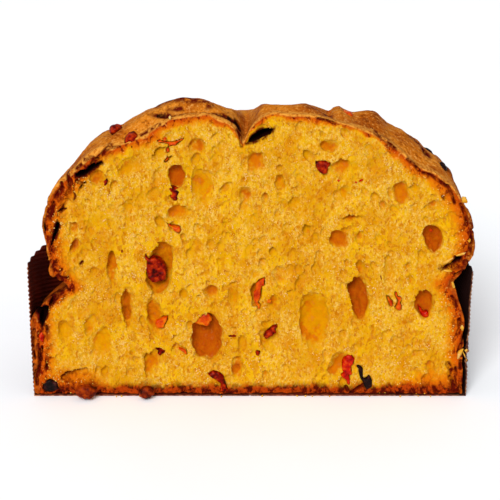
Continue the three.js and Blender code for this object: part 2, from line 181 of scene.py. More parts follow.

# Dark red crevices and scorched patches of the browned rind on the cut, as paths with their half width. The crevices
# are carved as grooves, and their dark red is partly scorched rind and partly painted shade
SCORCH_AND_CREVICE_SHADE = [
    ([(-84.2, 111.0), (-83.8, 107.9), (-83.5, 104.0)], 0.9),
    ([(-87.3, 106.9), (-87.0, 104.5), (-88.9, 102.6)], 0.8),
    ([(-89.4, 101.1), (-90.9, 97.7), (-92.0, 93.3), (-93.1, 89.4)], 1.2),
    ([(-82.7, 108.4), (-81.9, 104.0), (-81.1, 100.6), (-81.6, 98.7)], 0.5),
    ([(-80.4, 107.9), (-76.7, 106.9)], 0.5),
    ([(-86.3, 96.7), (-87.8, 93.3)], 0.5),
    ([(-89.2, 93.3), (-85.5, 94.8)], 0.4),
    ([(-75.9, 118.2), (-73.1, 119.4), (-70.3, 118.4)], 0.8),
    ([(-80.2, 113.6), (-77.8, 115.6)], 0.7),
    ([(-72.7, 116.5), (-68.9, 119.8), (-67.0, 122.2), (-64.2, 124.6)], 0.9),
    ([(-65.6, 123.7), (-62.4, 124.1), (-59.6, 124.6)], 0.3),
    ([(-49.9, 129.6), (-47.1, 131.2), (-43.4, 133.6), (-41.1, 134.8)], 0.3),
    ([(-5.9, 132.2), (-4.6, 128.9), (-3.9, 124.6)], 0.5),
    ([(31.0, 137.8), (34.7, 137.1), (38.3, 135.9)], 0.5),
    ([(57.2, 130.8), (61.3, 127.9), (64.1, 126.0), (67.0, 123.2)], 0.5),
    ([(72.6, 118.4), (75.9, 115.6), (77.9, 113.2)], 0.6),
    ([(79.7, 112.2), (83.0, 111.2), (86.3, 108.8), (91.1, 105.5)], 0.6),
    ([(91.5, 105.9), (93.5, 101.6), (95.1, 97.2)], 0.6),
    ([(89.4, 100.6), (90.4, 99.2)], 0.5),
    ([(97.9, 96.7), (100.0, 92.4), (101.2, 86.5)], 0.6),
    ([(-101.4, 26.6), (-100.7, 18.8), (-102.0, 11.0)], 0.7),
    ([(-99.5, 25.6), (-100.1, 21.4), (-100.0, 18.3)], 0.6),
    ([(-97.7, 16.8), (-98.1, 13.6)], 0.8),
    ([(-102.9, 34.3), (-103.8, 26.6), (-103.1, 19.9)], 0.5),
    ([(-102.9, 12.6), (-102.7, 6.3)], 0.8),
    ([(-90.8, 9.7), (-84.6, 12.6), (-78.8, 13.9)], 0.4),
    ([(-92.5, 1.8), (-91.8, 1.3)], 0.9),
    ([(-85.5, 54.2), (-88.9, 52.6), (-91.8, 50.6)], 0.8),
    ([(-92.2, 64.7), (-90.4, 63.2), (-88.5, 64.7)], 0.5),
    ([(-91.5, 59.7), (-88.6, 60.2), (-85.8, 60.2)], 0.7),
    ([(-93.1, 65.7), (-90.7, 68.7)], 0.6),
    ([(-78.9, 68.4), (-79.7, 67.4)], 0.6),
    ([(101.1, 26.6), (100.3, 24.5), (99.6, 22.5)], 0.4),
    ([(101.3, 17.8), (101.4, 13.6)], 0.6),
    ([(99.0, 14.2), (99.4, 10.5)], 0.6),
    ([(96.3, 9.5), (97.9, 6.3), (98.5, 2.6)], 1.0),
    ([(103.4, 17.8), (104.0, 11.0)], 0.6),
    ([(88.8, 4.2), (89.9, 2.1)], 0.8),
    ([(100.0, 2.1), (101.8, 4.2)], 1.2),
    ([(46.3, 4.7), (47.3, 2.6)], 0.9),
    ([(48.8, 1.6), (54.5, 5.3)], 0.7),
    ([(93.6, 66.7), (93.9, 64.7)], 0.4),
    ([(95.6, 51.1), (97.6, 48.1), (98.2, 45.6)], 0.6),
    ([(96.6, 62.2), (100.2, 64.2)], 0.4),
    ([(103.4, 84), (103.6, 78), (102.8, 72)], 1.1),
    ([(95.5, 66), (99, 66.5), (101.5, 68)], 2.0),
    ([(95.1, 16.5), (96.8, 13.4), (98.4, 9.0), (98.6, 5.0)], 1.3),
    ([(102.2, 24.5), (101.6, 20.5)], 0.7),
    ([(99.5, 39.5), (100.2, 35.0), (99.0, 31.5)], 0.9),
    ([(103.0, 8.0), (103.4, 3.0)], 1.2),
    ([(-96.5, 60.6), (-93.0, 58.8), (-90.5, 61.8), (-88.3, 58.6)], 0.8),
    ([(-95.6, 66.5), (-93.2, 69.0), (-91.0, 66.4)], 0.7),
    ([(-76.0, 107.4), (-78.4, 105.0)], 0.4),
]
# Where the crust rolls over the edge of the cut as a tan lip: x, and the width of the lip there
LIP = ([-95, -84, -70, -62, -52, -43, -36, -24, -14, -8, -4, -1], [0, 1.2, 1.8, 3.4, 3.7, 3.4, 2.8, 2.6, 3.0, 2.6, 1.2, 0])

# The fruit that the cut shows: outlines on the cut face, then the half thickness of the piece
CUT_FRUIT = {
    "raisin_heart": (3.0, [
        [(-49, 72.8), (-47.9, 70.3), (-46.6, 70.7), (-44.4, 70.7), (-42.3, 69.9), (-40.5, 68), (-39.5, 65.5),
         (-39.4, 62.9), (-39.9, 60.2), (-41.8, 58.8), (-44.3, 58.2), (-46.5, 58.8), (-47.9, 60.5), (-48.7, 63.2),
         (-48.5, 66.7), (-48.4, 68.9), (-49.4, 70.3)],
    ]),
    "raisin_slant": (2.0, [
        [(12.7, 37), (13.2, 35.5), (12, 34.7), (12.3, 32.6), (10.8, 31.4), (8.9, 29.8), (7.6, 29.2), (6.5, 30.8),
         (7.2, 32.6), (8.9, 34.5), (10.8, 36.3)],
    ]),
    "raisin_base": (2.4, [
        [(-17.7, 13.1), (-15.2, 12.5), (-12.8, 10.6), (-12.5, 7.9), (-11.6, 5.2), (-10.4, 2.4), (-15.3, 1.9),
         (-14.1, 3.5), (-14.1, 6.2), (-16.5, 8.2), (-19, 9.9), (-20.5, 11.4)],
    ]),
    "raisin_burnt_right": (2.4, [
        [(57.4, 10.9), (58.9, 8.1), (58.6, 4.8), (56.1, 3), (55.3, 5.1), (54.2, 7.4), (53.6, 8.3), (52.6, 11.1),
         (52.3, 13.9), (51.1, 15.6), (52.1, 16), (54.1, 14.4), (54.4, 9.3), (55.9, 9.3)],
    ]),
    "raisin_burnt_left": (2.4, [
        [(-100.4, 3.8), (-99.5, 7.4), (-96.4, 8.6), (-93.4, 7.2), (-92.6, 4), (-95, 2.2), (-98.6, 2)],
    ]),
    "raisin_under_crust": (3.0, [
        [(-55.8, 129.9), (-53.5, 130.4), (-51.7, 129.1), (-50.3, 127), (-51.8, 124), (-54.6, 122.2),
         (-56.7, 122.9), (-57.7, 125.1), (-57.5, 127.9)],
    ]),
    "raisin_chimney": (2.4, [
        [(-37.4, 105.8), (-35.3, 105.2), (-33.3, 104.4), (-31.8, 103.3), (-32.6, 101.1), (-34, 98.5),
         (-35.4, 98.3), (-37.2, 100.4), (-36.8, 101.9), (-38, 103.7), (-38.2, 104.8)],
    ]),
    "raisin_window": (2.6, [
        [(30, 117.3), (32.1, 117.7), (33.9, 117.9), (35.6, 117.3), (37.5, 116.6), (36.1, 114.7), (35.4, 111.8),
         (34, 111.3), (32.2, 112.2), (30.8, 114.4)],
    ]),
    "raisin_pit": (1.8, [
        [(-45.5, 25), (-43.8, 24.8), (-42.4, 24.5), (-40.7, 23.4), (-41, 22.4), (-42.5, 21.5), (-43.2, 20.8),
         (-44.3, 21.8), (-44, 23.6), (-44.9, 23.9)],
    ]),
    "peel_strip": (1.8, [
        [(7.1, 60.9), (7.1, 56.8), (5.6, 56.3), (5.6, 52.4), (4.9, 50.3), (4, 48.2), (5.4, 46.7), (4.2, 44.4),
         (2.8, 46.2), (2.3, 48), (1.3, 50.1), (1.3, 53.2), (2.3, 54.7), (2.6, 57.8), (4.2, 59.6)],
    ]),
    "peel_cavity_rim": (2.4, [
        [(-26.3, 39.6), (-22.9, 41.8), (-20.8, 43.5), (-19, 41.5), (-17.7, 38.6), (-20, 35.4), (-23.3, 35.7),
         (-26.9, 36.6)],
    ]),
    "peel_streak": (1.6, [
        [(-29.9, 128.9), (-30.7, 127.7), (-33.1, 125.6), (-34.2, 125), (-35.8, 125), (-37.2, 124.3),
         (-36.9, 122.1), (-37.7, 121.3), (-38.5, 121.7), (-38.8, 123), (-38, 124.1), (-37.4, 125.6),
         (-39.5, 126.1), (-41.9, 126.3), (-42.8, 127.4), (-40.9, 128.1), (-39.6, 127), (-37.4, 126.6),
         (-34.6, 127.2), (-32.5, 128)],
        [(-38.2, 120.3), (-37.5, 119.4), (-36.1, 120.4), (-35.6, 119.8), (-37, 118.5), (-38.1, 117.3),
         (-38.9, 116.7), (-40, 117.2), (-39.8, 118), (-38.8, 119)],
    ]),
    "peel_upper": (1.8, [
        [(-39.2, 88.1), (-36.4, 86.6), (-32.4, 86.2), (-32.1, 83.9), (-33.2, 82.1), (-35.3, 83.6),
         (-37.8, 86)],
    ]),
    "peel_lower": (2.0, [
        [(-45, 39.1), (-42.8, 39.9), (-41.3, 40.9), (-38.9, 41.1), (-39.2, 38.9), (-40.3, 36.9), (-41.1, 35),
         (-42.6, 34.6), (-44.2, 34.8), (-45.2, 36.2), (-45.3, 37.7)],
    ]),
    "peel_small": (1.5, [
        [(-35.9, 27.5), (-34.8, 27.3), (-34.1, 25.5), (-32.5, 25), (-30.3, 24.1), (-29.9, 21.5), (-30.9, 21.4),
         (-31.8, 22.7), (-33.4, 23.2), (-34.3, 24.1), (-35.1, 25.9)],
    ]),
    "peel_right": (1.7, [
        [(64.5, 51.8), (65.9, 51.3), (66.4, 50.2), (67.8, 48.8), (68, 46.6), (67.2, 45.8), (66, 46.1),
         (65.6, 48.2), (64.9, 49.8)],
        [(68.3, 53.4), (69.4, 53.6), (70, 51.6), (71.7, 50.7), (72.1, 49.5), (71.6, 48), (72.2, 46.3),
         (72, 44.5), (71.2, 44), (69.7, 44.3), (68.5, 45.8), (69.5, 47.3), (69.8, 49.1), (68.7, 51.3)],
    ]),
    "cherry_low": (2.2, [
        [(46.6, 21.1), (48.8, 21.1), (50.2, 19.1), (49.8, 16.2), (48.5, 15.3), (49, 13), (48.8, 10.9),
         (47.7, 10.7), (48.2, 8.3), (48.2, 5.3), (46.9, 6), (46.4, 8.3), (44.7, 9.5), (43.6, 10.7), (45.5, 12.5),
         (44.7, 13), (44, 15.3), (44.2, 17.7), (45.2, 19.3)],
    ]),
    "cherry_slot": (1.8, [
        [(80, 45.4), (81.2, 44.5), (81.9, 42.7), (83.5, 42.4), (84.4, 43.1), (85.1, 41.8), (85.9, 39.9),
         (83.9, 39.3), (82.2, 40.2), (81.5, 40.9), (80.8, 43.1)],
    ]),
}
# Fruit at the bottom of its pore instead of level with the cut, in mm behind it
FRUIT_SET_BACK = {
    "cherry_slot": 3.0, "peel_cavity_rim": 1.5, "raisin_chimney": 1.0, "raisin_under_crust": 1.6, "peel_streak": 0.6,
}

# How far the fruit on the crust moved with the crust when it swelled
CRUST_FRUIT_SHIFT = {"raisin_skin_left": (-0.8, 0, 1.8), "raisin_skin_oval": (-0.6, -2.4, -0.6), "raisin_skin_shoulder": (-0.6, -1, 0.8)}

# Small flecks of fruit in the crumb: x, z, half width, half height, lean, kind
FLECKS = [
    (3.8, 22.5, 1.2, 1.3, 0, "raisin"),
    (-8.4, 31.2, 1.9, 0.5, 0, "raisin"),
    (-66.6, 107.8, 0.9, 1.5, -25, "raisin"),
    (-39.0, 128.2, 1.0, 0.7, 40, "peel"),
    (9.2, 49, 1.1, 1, 0, "peel"),
    (41, 108.4, 0.8, 0.5, -12, "cherry"),
    (51.3, 108.6, 1.1, 0.45, 25, "cherry"),
    (49.0, 107.6, 0.5, 0.4, 0, "cherry"),
    (84.5, 84.2, 0.9, 0.8, 0, "raisin"),
    (61.8, 60.8, 0.25, 1.2, 15, "raisin"),
    (-60, 74, 0.5, 0.8, 0, "raisin"),
    (-99.5, 30.5, 1.1, 2.2, 0, "cherry"),
]
# Pale flakes and small knobs of crumb that stand on the torn edges, in the same terms
FLAKES = [
    (102.4, 79.1, 1.0, 0.8, 10),
    (95.9, 57.2, 0.6, 1.8, 20),
    (101.1, 35.4, 0.8, 1.2, 0),
    (100.6, 22.0, 1.0, 2.5, -25),
    (103.1, 20.7, 0.3, 2.8, 25),
    (103.6, 23.8, 1.0, 0.5, 40),
    (92.5, 68.9, 2.6, 0.7, 30),
    (98.9, 72.4, 2.1, 0.6, 12),
    (93.4, 64.2, 1.9, 0.6, -10),
    (-36.5, 138.3, 0.5, 1.0, 0),
    (99.4, 99.0, 1.4, 1.5, 0),
]

# Tears and marks of the crust, as places on it with their half width and depth
TEARS = [
    ([(-46.5, 11, 135.6), (-41.5, 8, 137), (-36.4, 5, 138.2), (-31.9, 4.5, 138.6), (-26.4, 4.5, 139.4),
      (-20.5, 4.5, 140.4), (-16.6, 4.5, 139.4), (-11.7, 4.5, 137.8), (-8.9, 4.5, 135.6), (-6, 6, 133.6)], 1.2, 3.2),
    ([(72.5, 21, 121.8), (76.1, 21.5, 119.9), (78.8, 20.6, 118), (81.6, 15.8, 116.2)], 2.4, 5.5),
    ([(23.5, 19, 138.2), (26.5, 18.4, 137.2)], 0.6, 1.5),
    ([(55.5, 6.6, 131.8), (59, 8, 130.4)], 0.5, 1.2),
    ([(58.5, 17, 132.7), (64, 22.5, 129.5)], 0.6, 1.4),
]
PITS = [(-4.9, 8.5, 133.2, 4.0), (-9, 5.5, 137.2, 1.8), (93.2, 15, 112.6, 4.2)]
# Ridges of the dome that the heat burnt dark, as paths with their half width
RIDGES = [
    ([(-42, 22, 138), (-38.5, 19, 140.5), (-32.3, 13, 143.4), (-26.7, 12, 143.6), (-21.7, 12, 143.4), (-19.5, 10, 142.4)], 3.0),
    ([(-44, 12.5, 136.8), (-38, 9.5, 139.2), (-32, 8, 140.6)], 1.3),
    ([(103, 2, 95), (104.5, 3, 84), (104, 4, 74), (101, 4, 68)], 2.4),
    ([(-95.5, 3, 100), (-99, 4, 92), (-98.5, 4, 84)], 2.2),
]
# Round swellings of the crust: place, radius and rise
BUMPS = [
    (55.5, 17.6, 134.6, 6.5, 2.2), (93, 18, 108.6, 5.5, 2.8), (72, 20, 124.5, 6, 1.0), (96.5, 1, 57, 8, 2.6),
    (-97, 1, 50, 8, 1.6), (-92, 1, 62, 6, 1.0), (103.5, 2, 73.5, 8, 2.6), (103.5, 1, 62, 5, 0.8),
]
# Rise and fall of the crest of the dome behind the cut: x, and how much the crust stands out there
CREST = (
    [-74, -65, -59.5, -54, -49.4, -45, -39, -33.5, -27, -21, -16.7, -11, -7.5, -2, 2, 5.6, 11, 16.5, 22, 26, 31, 34,
     37, 39, 42, 46, 48, 53.5, 59, 65, 70.5, 77, 80, 84, 90, 96],
    [0.4, 0.6, 1.0, 1.8, 2.6, 2.2, 2.1, 1.3, 0, -0.6, -1.7, -2.6, -1.7, -1, 0, 2.0, 1.6, 1.6, 2.5, 2.9, 1.6, 0.4,
     -1.2, 0.8, 2.0, 0.8, 0, 1.1, 2.1, 0.6, 1.7, 2.7, 2.6, 0.6, 0.6, -0.5],
)


class LoafSettings(bpy.types.PropertyGroup):
    """Sizes of the crumb and crust"""

    front_step: FloatProperty(
        name="Front step", description="Spacing of the surface near the cut face",
        default=0.45 * MM, min=0.3 * MM, subtype="DISTANCE", unit="LENGTH",
    )
    back_step: FloatProperty(
        name="Back step", description="Spacing of the surface over the dome",
        default=0.94 * MM, min=0.6 * MM, subtype="DISTANCE", unit="LENGTH",
    )
    bubbles: IntProperty(
        name="Small pores", description="How many small pores the cut opened",
        default=14000, min=0, max=20000,
    )
    smallest_bubble: FloatProperty(
        name="Smallest pore", description="Half width of the smallest pore",
        default=0.42 * MM, min=0.3 * MM, subtype="DISTANCE", unit="LENGTH",
    )
    crumb_relief: FloatProperty(
        name="Crumb relief", description="Depth of the torn fibres on the cut face",
        default=0.8 * MM, min=0.0, subtype="DISTANCE", unit="LENGTH",
    )
    crust_relief: FloatProperty(
        name="Crust relief", description="Height of the wrinkles of the crust",
        default=0.45 * MM, min=0.0, subtype="DISTANCE", unit="LENGTH",
    )
    crumb_colour: FloatVectorProperty(
        name="Crumb", description="Colour of the egg-rich crumb",
        subtype="COLOR", size=3, default=(0.59, 0.31, 0.0003), min=0, max=1,
    )


class CaseSettings(bpy.types.PropertyGroup):
    """Sizes of the paper case"""

    rib_pitch: FloatProperty(
        name="Rib pitch", description="Distance from one rib of the paper to the next",
        default=2.1 * MM, min=1.0 * MM, subtype="DISTANCE", unit="LENGTH",
    )
    rib_depth: FloatProperty(
        name="Rib depth", description="How far a rib stands out",
        default=0.55 * MM, min=0.0, subtype="DISTANCE", unit="LENGTH",
    )
    rib_slant: FloatProperty(
        name="Rib slant", description="How far a rib climbs for each unit of length along the wall",
        default=0.25, min=0.0, max=2.0,
    )
    paper: FloatProperty(
        name="Paper", description="Thickness of the paper",
        default=0.32 * MM, min=0.1 * MM, subtype="DISTANCE", unit="LENGTH",
    )


class CrumbSettings(bpy.types.PropertyGroup):
    """Crumbs that cling to the cut and a few at its foot"""

    clinging: FloatProperty(
        name="Clinging crumbs", description="Crumbs for each square metre of the torn face",
        default=420000.0, min=0.0,
    )
    loose: FloatProperty(
        name="Loose crumbs", description="Crumbs for each square metre of the strip at the foot",
        default=70000.0, min=0.0,
    )
    clinging_size: FloatProperty(
        name="Clinging crumb size", description="Half width of a clinging crumb",
        default=0.36 * MM, min=0.1 * MM, subtype="DISTANCE", unit="LENGTH",
    )
    loose_size: FloatProperty(
        name="Loose crumb size", description="Half width of a loose crumb",
        default=0.6 * MM, min=0.1 * MM, subtype="DISTANCE", unit="LENGTH",
    )


class StageSettings(bpy.types.PropertyGroup):
    """The camera"""

    distance: FloatProperty(
        name="Camera distance", description="From the camera to the cut face",
        default=760 * MM, min=0.2, subtype="DISTANCE", unit="LENGTH",
    )
    elevation: FloatProperty(
        name="Camera height", description="Angle of the camera above the table",
        default=math.radians(19), subtype="ANGLE", unit="ROTATION",
    )
    target_height: FloatProperty(
        name="Aim height", description="Height on the cut face that the camera looks at",
        default=74.66 * MM, subtype="DISTANCE", unit="LENGTH",
    )
    lens: FloatProperty(
        name="Lens", description="Focal length in millimetres", default=116.8, min=20,
    )


# Numbers and shapes


def linear(hex_colour):
    """An sRGB hex colour as linear red, green, blue and alpha."""
    parts = [int(hex_colour[i:i + 2], 16) / 255 for i in (1, 3, 5)]
    return [c / 12.92 if c <= 0.04045 else ((c + 0.055) / 1.055) ** 2.4 for c in parts] + [1.0]


def smoothstep(low, high, x):
    t = np.clip((x - low) / (high - low), 0, 1)
    return t * t * (3 - 2 * t)


def noise(points, cell, seed):
    """Smooth noise between -1 and 1 at points in mm. cell is the spacing of its random values along x, y and z."""
    size = 32
    lattice = np.random.default_rng(seed).uniform(-1, 1, (size, size, size)).astype(np.float32)
    scaled = points / np.asarray(cell, np.float32)
    low = np.floor(scaled)
    t = (scaled - low).astype(np.float32)
    t = t * t * (3 - 2 * t)
    low = low.astype(np.int64) % size
    high = (low + 1) % size
    total = 0
    for i in (0, 1):
        ix = (low, high)[i][:, 0]
        wx = t[:, 0] if i else 1 - t[:, 0]
        for j in (0, 1):
            iy = (low, high)[j][:, 1]
            wy = t[:, 1] if j else 1 - t[:, 1]
            for k in (0, 1):
                iz = (low, high)[k][:, 2]
                wz = t[:, 2] if k else 1 - t[:, 2]
                total = total + lattice[ix, iy, iz] * wx * wy * wz
    return total


def blurred(table, sigma, axis):
    """A table blurred along one axis, with its ends held."""
    reach = int(math.ceil(3 * sigma))
    weights = np.exp(-0.5 * (np.arange(-reach, reach + 1) / sigma) ** 2)
    weights /= weights.sum()
    padding = [(0, 0), (0, 0)]
    padding[axis] = (reach, reach)
    padded = np.pad(table, padding, mode="edge")
    length = table.shape[axis]
    parts = [w * np.take(padded, np.arange(i, i + length), axis) for i, w in enumerate(weights)]
    return sum(parts)


def crust_table():
    """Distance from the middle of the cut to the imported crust, by elevation and azimuth in steps of TABLE_STEP."""
    mesh = frame["nodes"]["loaf"].data
    corners = np.empty(len(mesh.vertices) * 3, np.float32)
    mesh.vertices.foreach_get("co", corners)
    corners = corners.reshape(-1, 3) / MM - [0, CUT_Y, 0]
    tree = BVHTree.FromPolygons(corners.tolist(), [tuple(p.vertices) for p in mesh.polygons])
    far = 200.0
    elevations = np.arange(-45, 90 + TABLE_STEP, TABLE_STEP)
    azimuths = np.clip(np.arange(0, 180 + TABLE_STEP, TABLE_STEP), 0.3, 179.7)
    table = np.zeros((len(elevations), len(azimuths)))
    for row, elevation in enumerate(np.radians(elevations)):
        if elevations[row] < WALL_ELEVATION:
            continue
        for column, azimuth in enumerate(np.radians(azimuths)):
            level = math.cos(elevation)
            way = Vector((level * math.cos(azimuth), level * math.sin(azimuth), math.sin(elevation)))
            hit = tree.ray_cast(Vector(MIDDLE) + far * way, -way)
            table[row, column] = far - hit[3]
    first = int(np.searchsorted(elevations, WALL_ELEVATION))
    wall = table[first] * math.cos(math.radians(elevations[first]))
    for row in range(first):
        table[row] = wall / math.cos(math.radians(elevations[row]))
    table = blurred(table, 1.0, 0)
    return blurred(table, 3.2, 1)


def crust_distance(points, table):
    """Roughly how far outside the crust each point in mm lies. Points inside the loaf are negative."""
    offset = points - MIDDLE.astype(points.dtype)
    reach = np.sqrt((offset ** 2).sum(1)) + 1e-6
    elevation = np.degrees(np.arcsin(np.clip(offset[:, 2] / reach, -1, 1)))
    azimuth = np.degrees(np.arctan2(np.maximum(offset[:, 1], 0), offset[:, 0]))
    row = np.clip((elevation + 45) / TABLE_STEP, 0, table.shape[0] - 1.001)
    column = np.clip(azimuth / TABLE_STEP, 0, table.shape[1] - 1.001)
    i = row.astype(np.int32)
    j = column.astype(np.int32)
    u = row - i
    v = column - j
    lower = table[i, j] * (1 - v) + table[i, j + 1] * v
    upper = table[i + 1, j] * (1 - v) + table[i + 1, j + 1] * v
    return reach - (lower * (1 - u) + upper * u)


def path_distance(points, path, reach=7.0):
    """Distance in mm from each point to a line through the given places. Points beyond reach count as far."""
    path = np.array(path, np.float32)
    close = ((points > path.min(0) - reach) & (points < path.max(0) + reach)).all(1)
    spots = points[close]
    nearest = np.full(len(spots), 99.0, np.float32)
    for start, end in zip(path, path[1:]):
        along = end - start
        share = np.clip((spots - start) @ along / (along @ along), 0, 1)
        gap = spots - start - share[:, None] * along
        nearest = np.minimum(nearest, np.sqrt((gap ** 2).sum(1)))
    distance = np.full(len(points), 99.0, np.float32)
    distance[close] = nearest
    return distance


def crust_relief(points, height):
    """Wrinkles, blisters, tears and fine cracks of the crust, in mm outwards. Inside the case it is pressed smooth."""
    free = smoothstep(52, 64, points[:, 2])
    # The foot swelled against the case
    swell = smoothstep(46, 38, points[:, 2])
    swell = swell * (0.7 + 1.5 * smoothstep(-90, -96, points[:, 0]) * smoothstep(12, 4, points[:, 1]))
    crest = np.interp(points[:, 0], *CREST) * smoothstep(3, 11, points[:, 1]) * smoothstep(64, 38, points[:, 1])
    swell = swell + crest * smoothstep(96, 106, points[:, 2])
    wrinkles = 0.7 * noise(points, (6, 6, 5), 11) + 0.5 * noise(points, (2.4, 2.4, 2.0), 12)
    blisters = np.maximum(noise(points, (11, 11, 9), 13) - 0.35, 0) * 2.2
    seam = np.abs(noise(points, (17, 17, 13), 14))
    cracks = -1.6 * np.exp(-(seam / 0.05) ** 2) * smoothstep(-0.1, 0.3, noise(points, (30, 30, 30), 15))
    relief = swell + height * (0.18 + 0.82 * free) * (wrinkles + blisters) + height * free * cracks
    # The lip of the crust at the cut rounds over towards the eye on the left of the score
    lip = smoothstep(11, 0, points[:, 1]) * smoothstep(-72, -56, points[:, 0]) * smoothstep(-4, -10, points[:, 0])
    relief = relief - 3.2 * lip * smoothstep(100, 118, points[:, 2])
    for x, y, z, reach, rise in BUMPS:
        near = ((points - np.array([x, y, z], np.float32)) ** 2).sum(1)
        relief = relief + rise * np.exp(-near / (0.5 * reach) ** 2 / 2)
    for path, half in RIDGES:
        relief = relief + 0.35 * half * smoothstep(1.3 * half, 0, path_distance(points, path))
    for x, y, z, reach in PITS:
        near = np.sqrt(((points - np.array([x, y, z], np.float32)) ** 2).sum(1))
        relief = relief - 1.6 * reach * smoothstep(reach, 0.35 * reach, near)
    for path, half, deep in TEARS:
        near = path_distance(points, path) + 0.25 * half * wrinkles
        relief = relief - deep * smoothstep(half, 0.2 * half, near)
    return relief


def lip_width(points):
    """Width in mm of the rolled lip of crust at the cut beside each point."""
    return np.interp(points[:, 0], *LIP) * smoothstep(92, 102, points[:, 2])


def surface_nets(field, xs, ys, zs):
    """The surface where a field on a grid crosses zero, as vertices in mm and quads that face the positive side."""
    inside = field < 0
    corner_sum = np.zeros([n - 1 for n in field.shape], np.int8)
    corners = [(i, j, k) for i in (0, 1) for j in (0, 1) for k in (0, 1)]
    for i, j, k in corners:
        corner_sum += inside[
            i:field.shape[0] - 1 + i, j:field.shape[1] - 1 + j, k:field.shape[2] - 1 + k
        ]
    ci, cj, ck = np.nonzero((corner_sum > 0) & (corner_sum < 8))
    cell = np.full(corner_sum.shape, -1, np.int32)
    cell[ci, cj, ck] = np.arange(len(ci))
    values = {c: field[ci + c[0], cj + c[1], ck + c[2]] for c in corners}
    total = np.zeros((len(ci), 3))
    count = np.zeros(len(ci))
    for start in corners:
        for axis in range(3):
            if start[axis]:
                continue
            end = tuple(1 if a == axis else c for a, c in enumerate(start))
            a, b = values[start], values[end]
            crossed = (a < 0) != (b < 0)
            t = a / np.where(crossed, a - b, 1)
            spot = np.empty((len(ci), 3))
            spot[:] = start
            spot[:, axis] = t
            total += np.where(crossed[:, None], spot, 0)
            count += crossed
    local = total / count[:, None]
    vertices = np.empty_like(local)
    for axis, (line, index) in enumerate(zip((xs, ys, zs), (ci, cj, ck))):
        vertices[:, axis] = line[index] + local[:, axis] * (line[index + 1] - line[index])
    quads = []
    for axis in range(3):
        b, c = (axis + 1) % 3, (axis + 2) % 3
        first = np.take(inside, np.arange(field.shape[axis] - 1), axis)
        second = np.take(inside, np.arange(1, field.shape[axis]), axis)
        spots = np.array(np.nonzero(first != second))
        keep = (spots[b] > 0) & (spots[b] < field.shape[b] - 1)
        keep &= (spots[c] > 0) & (spots[c] < field.shape[c] - 1)
        spots = spots[:, keep]
        ring = []
        for db, dc in ((-1, -1), (0, -1), (0, 0), (-1, 0)):
            index = spots.copy()
            index[b] += db
            index[c] += dc
            ring.append(cell[tuple(index)])
        ring = np.stack(ring, 1)
        outward = first[tuple(spots)]
        quads.append(np.where(outward[:, None], ring, ring[:, ::-1]))
    return vertices, np.concatenate(quads)


def largest_body(vertices, quads):
    """Only the largest connected part of a surface: bits that the pores set free are dropped."""
    label = np.arange(len(vertices))
    while True:
        lowest = label[quads].min(1)
        new = label.copy()
        np.minimum.at(new, quads.ravel(), np.repeat(lowest, 4))
        new = new[new]
        if np.array_equal(new, label):
            break
        label = new
    main = np.bincount(label[quads[:, 0]]).argmax()
    quads = quads[label[quads[:, 0]] == main]
    used = np.unique(quads)
    renumber = np.zeros(len(vertices), np.int64)
    renumber[used] = np.arange(len(used))
    return vertices[used], renumber[quads]


def mesh_object(name, vertices, faces, attributes=(), smooth=True):
    """An object at the origin from vertices in mm from the cut face's axis, with float attributes on its points."""
    mesh = bpy.data.meshes.new(name)
    placed = (np.asarray(vertices) + [0, CUT_Y, 0]) * MM
    mesh.from_pydata(placed.tolist(), [], faces.tolist() if hasattr(faces, "tolist") else faces)
    for key, data in dict(attributes).items():
        layer = mesh.attributes.new(key, "FLOAT", "POINT")
        layer.data.foreach_set("value", np.asarray(data, np.float32))
    mesh.shade_smooth() if smooth else None
    mesh.update()
    thing = bpy.data.objects.new(name, mesh)
    bpy.context.scene.collection.objects.link(thing)
    return thing


def grid_points(xs, ys, zs):
    grid = np.meshgrid(xs, ys, zs, indexing="ij")
    return np.stack([g.ravel() for g in grid], 1).astype(np.float32)


def outline_distance(x, z, outline):
    """Distance from each place on the cut to a closed outline, negative inside it."""
    nearest = np.full(x.shape, 99.0)
    inside = np.zeros(x.shape, bool)
    for (ax, az), (bx, bz) in zip(outline, outline[1:] + outline[:1]):
        ex, ez = bx - ax, bz - az
        share = np.clip(((x - ax) * ex + (z - az) * ez) / (ex * ex + ez * ez), 0, 1)
        nearest = np.minimum(nearest, np.hypot(x - ax - share * ex, z - az - share * ez))
        if az != bz:
            crosses = (az > z) != (bz > z)
            inside ^= crosses & (x < ax + (z - az) / (bz - az) * ex)
    return np.where(inside, -nearest, nearest)


def fruit_field(xs, ys, zs, name):
    """A piece of fruit as a field on the grid: its outlines on the cut with rounded sides, set level with the face."""
    half, outlines = CUT_FRUIT[name]
    middle = half - 0.5 + FRUIT_SET_BACK.get(name, 0)
    x, z = np.meshgrid(xs, zs, indexing="ij")
    flat = outline_distance(x, z, outlines[0])
    for outline in outlines[1:]:
        flat = np.minimum(flat, outline_distance(x, z, outline))
    corner = min(0.7 * half, 1.3)
    side = np.maximum(flat + corner, 0)[:, None, :]
    thick = np.maximum(np.abs(ys - middle) - (half - corner), 0)[None, :, None]
    return np.sqrt(side ** 2 + thick ** 2) - corner


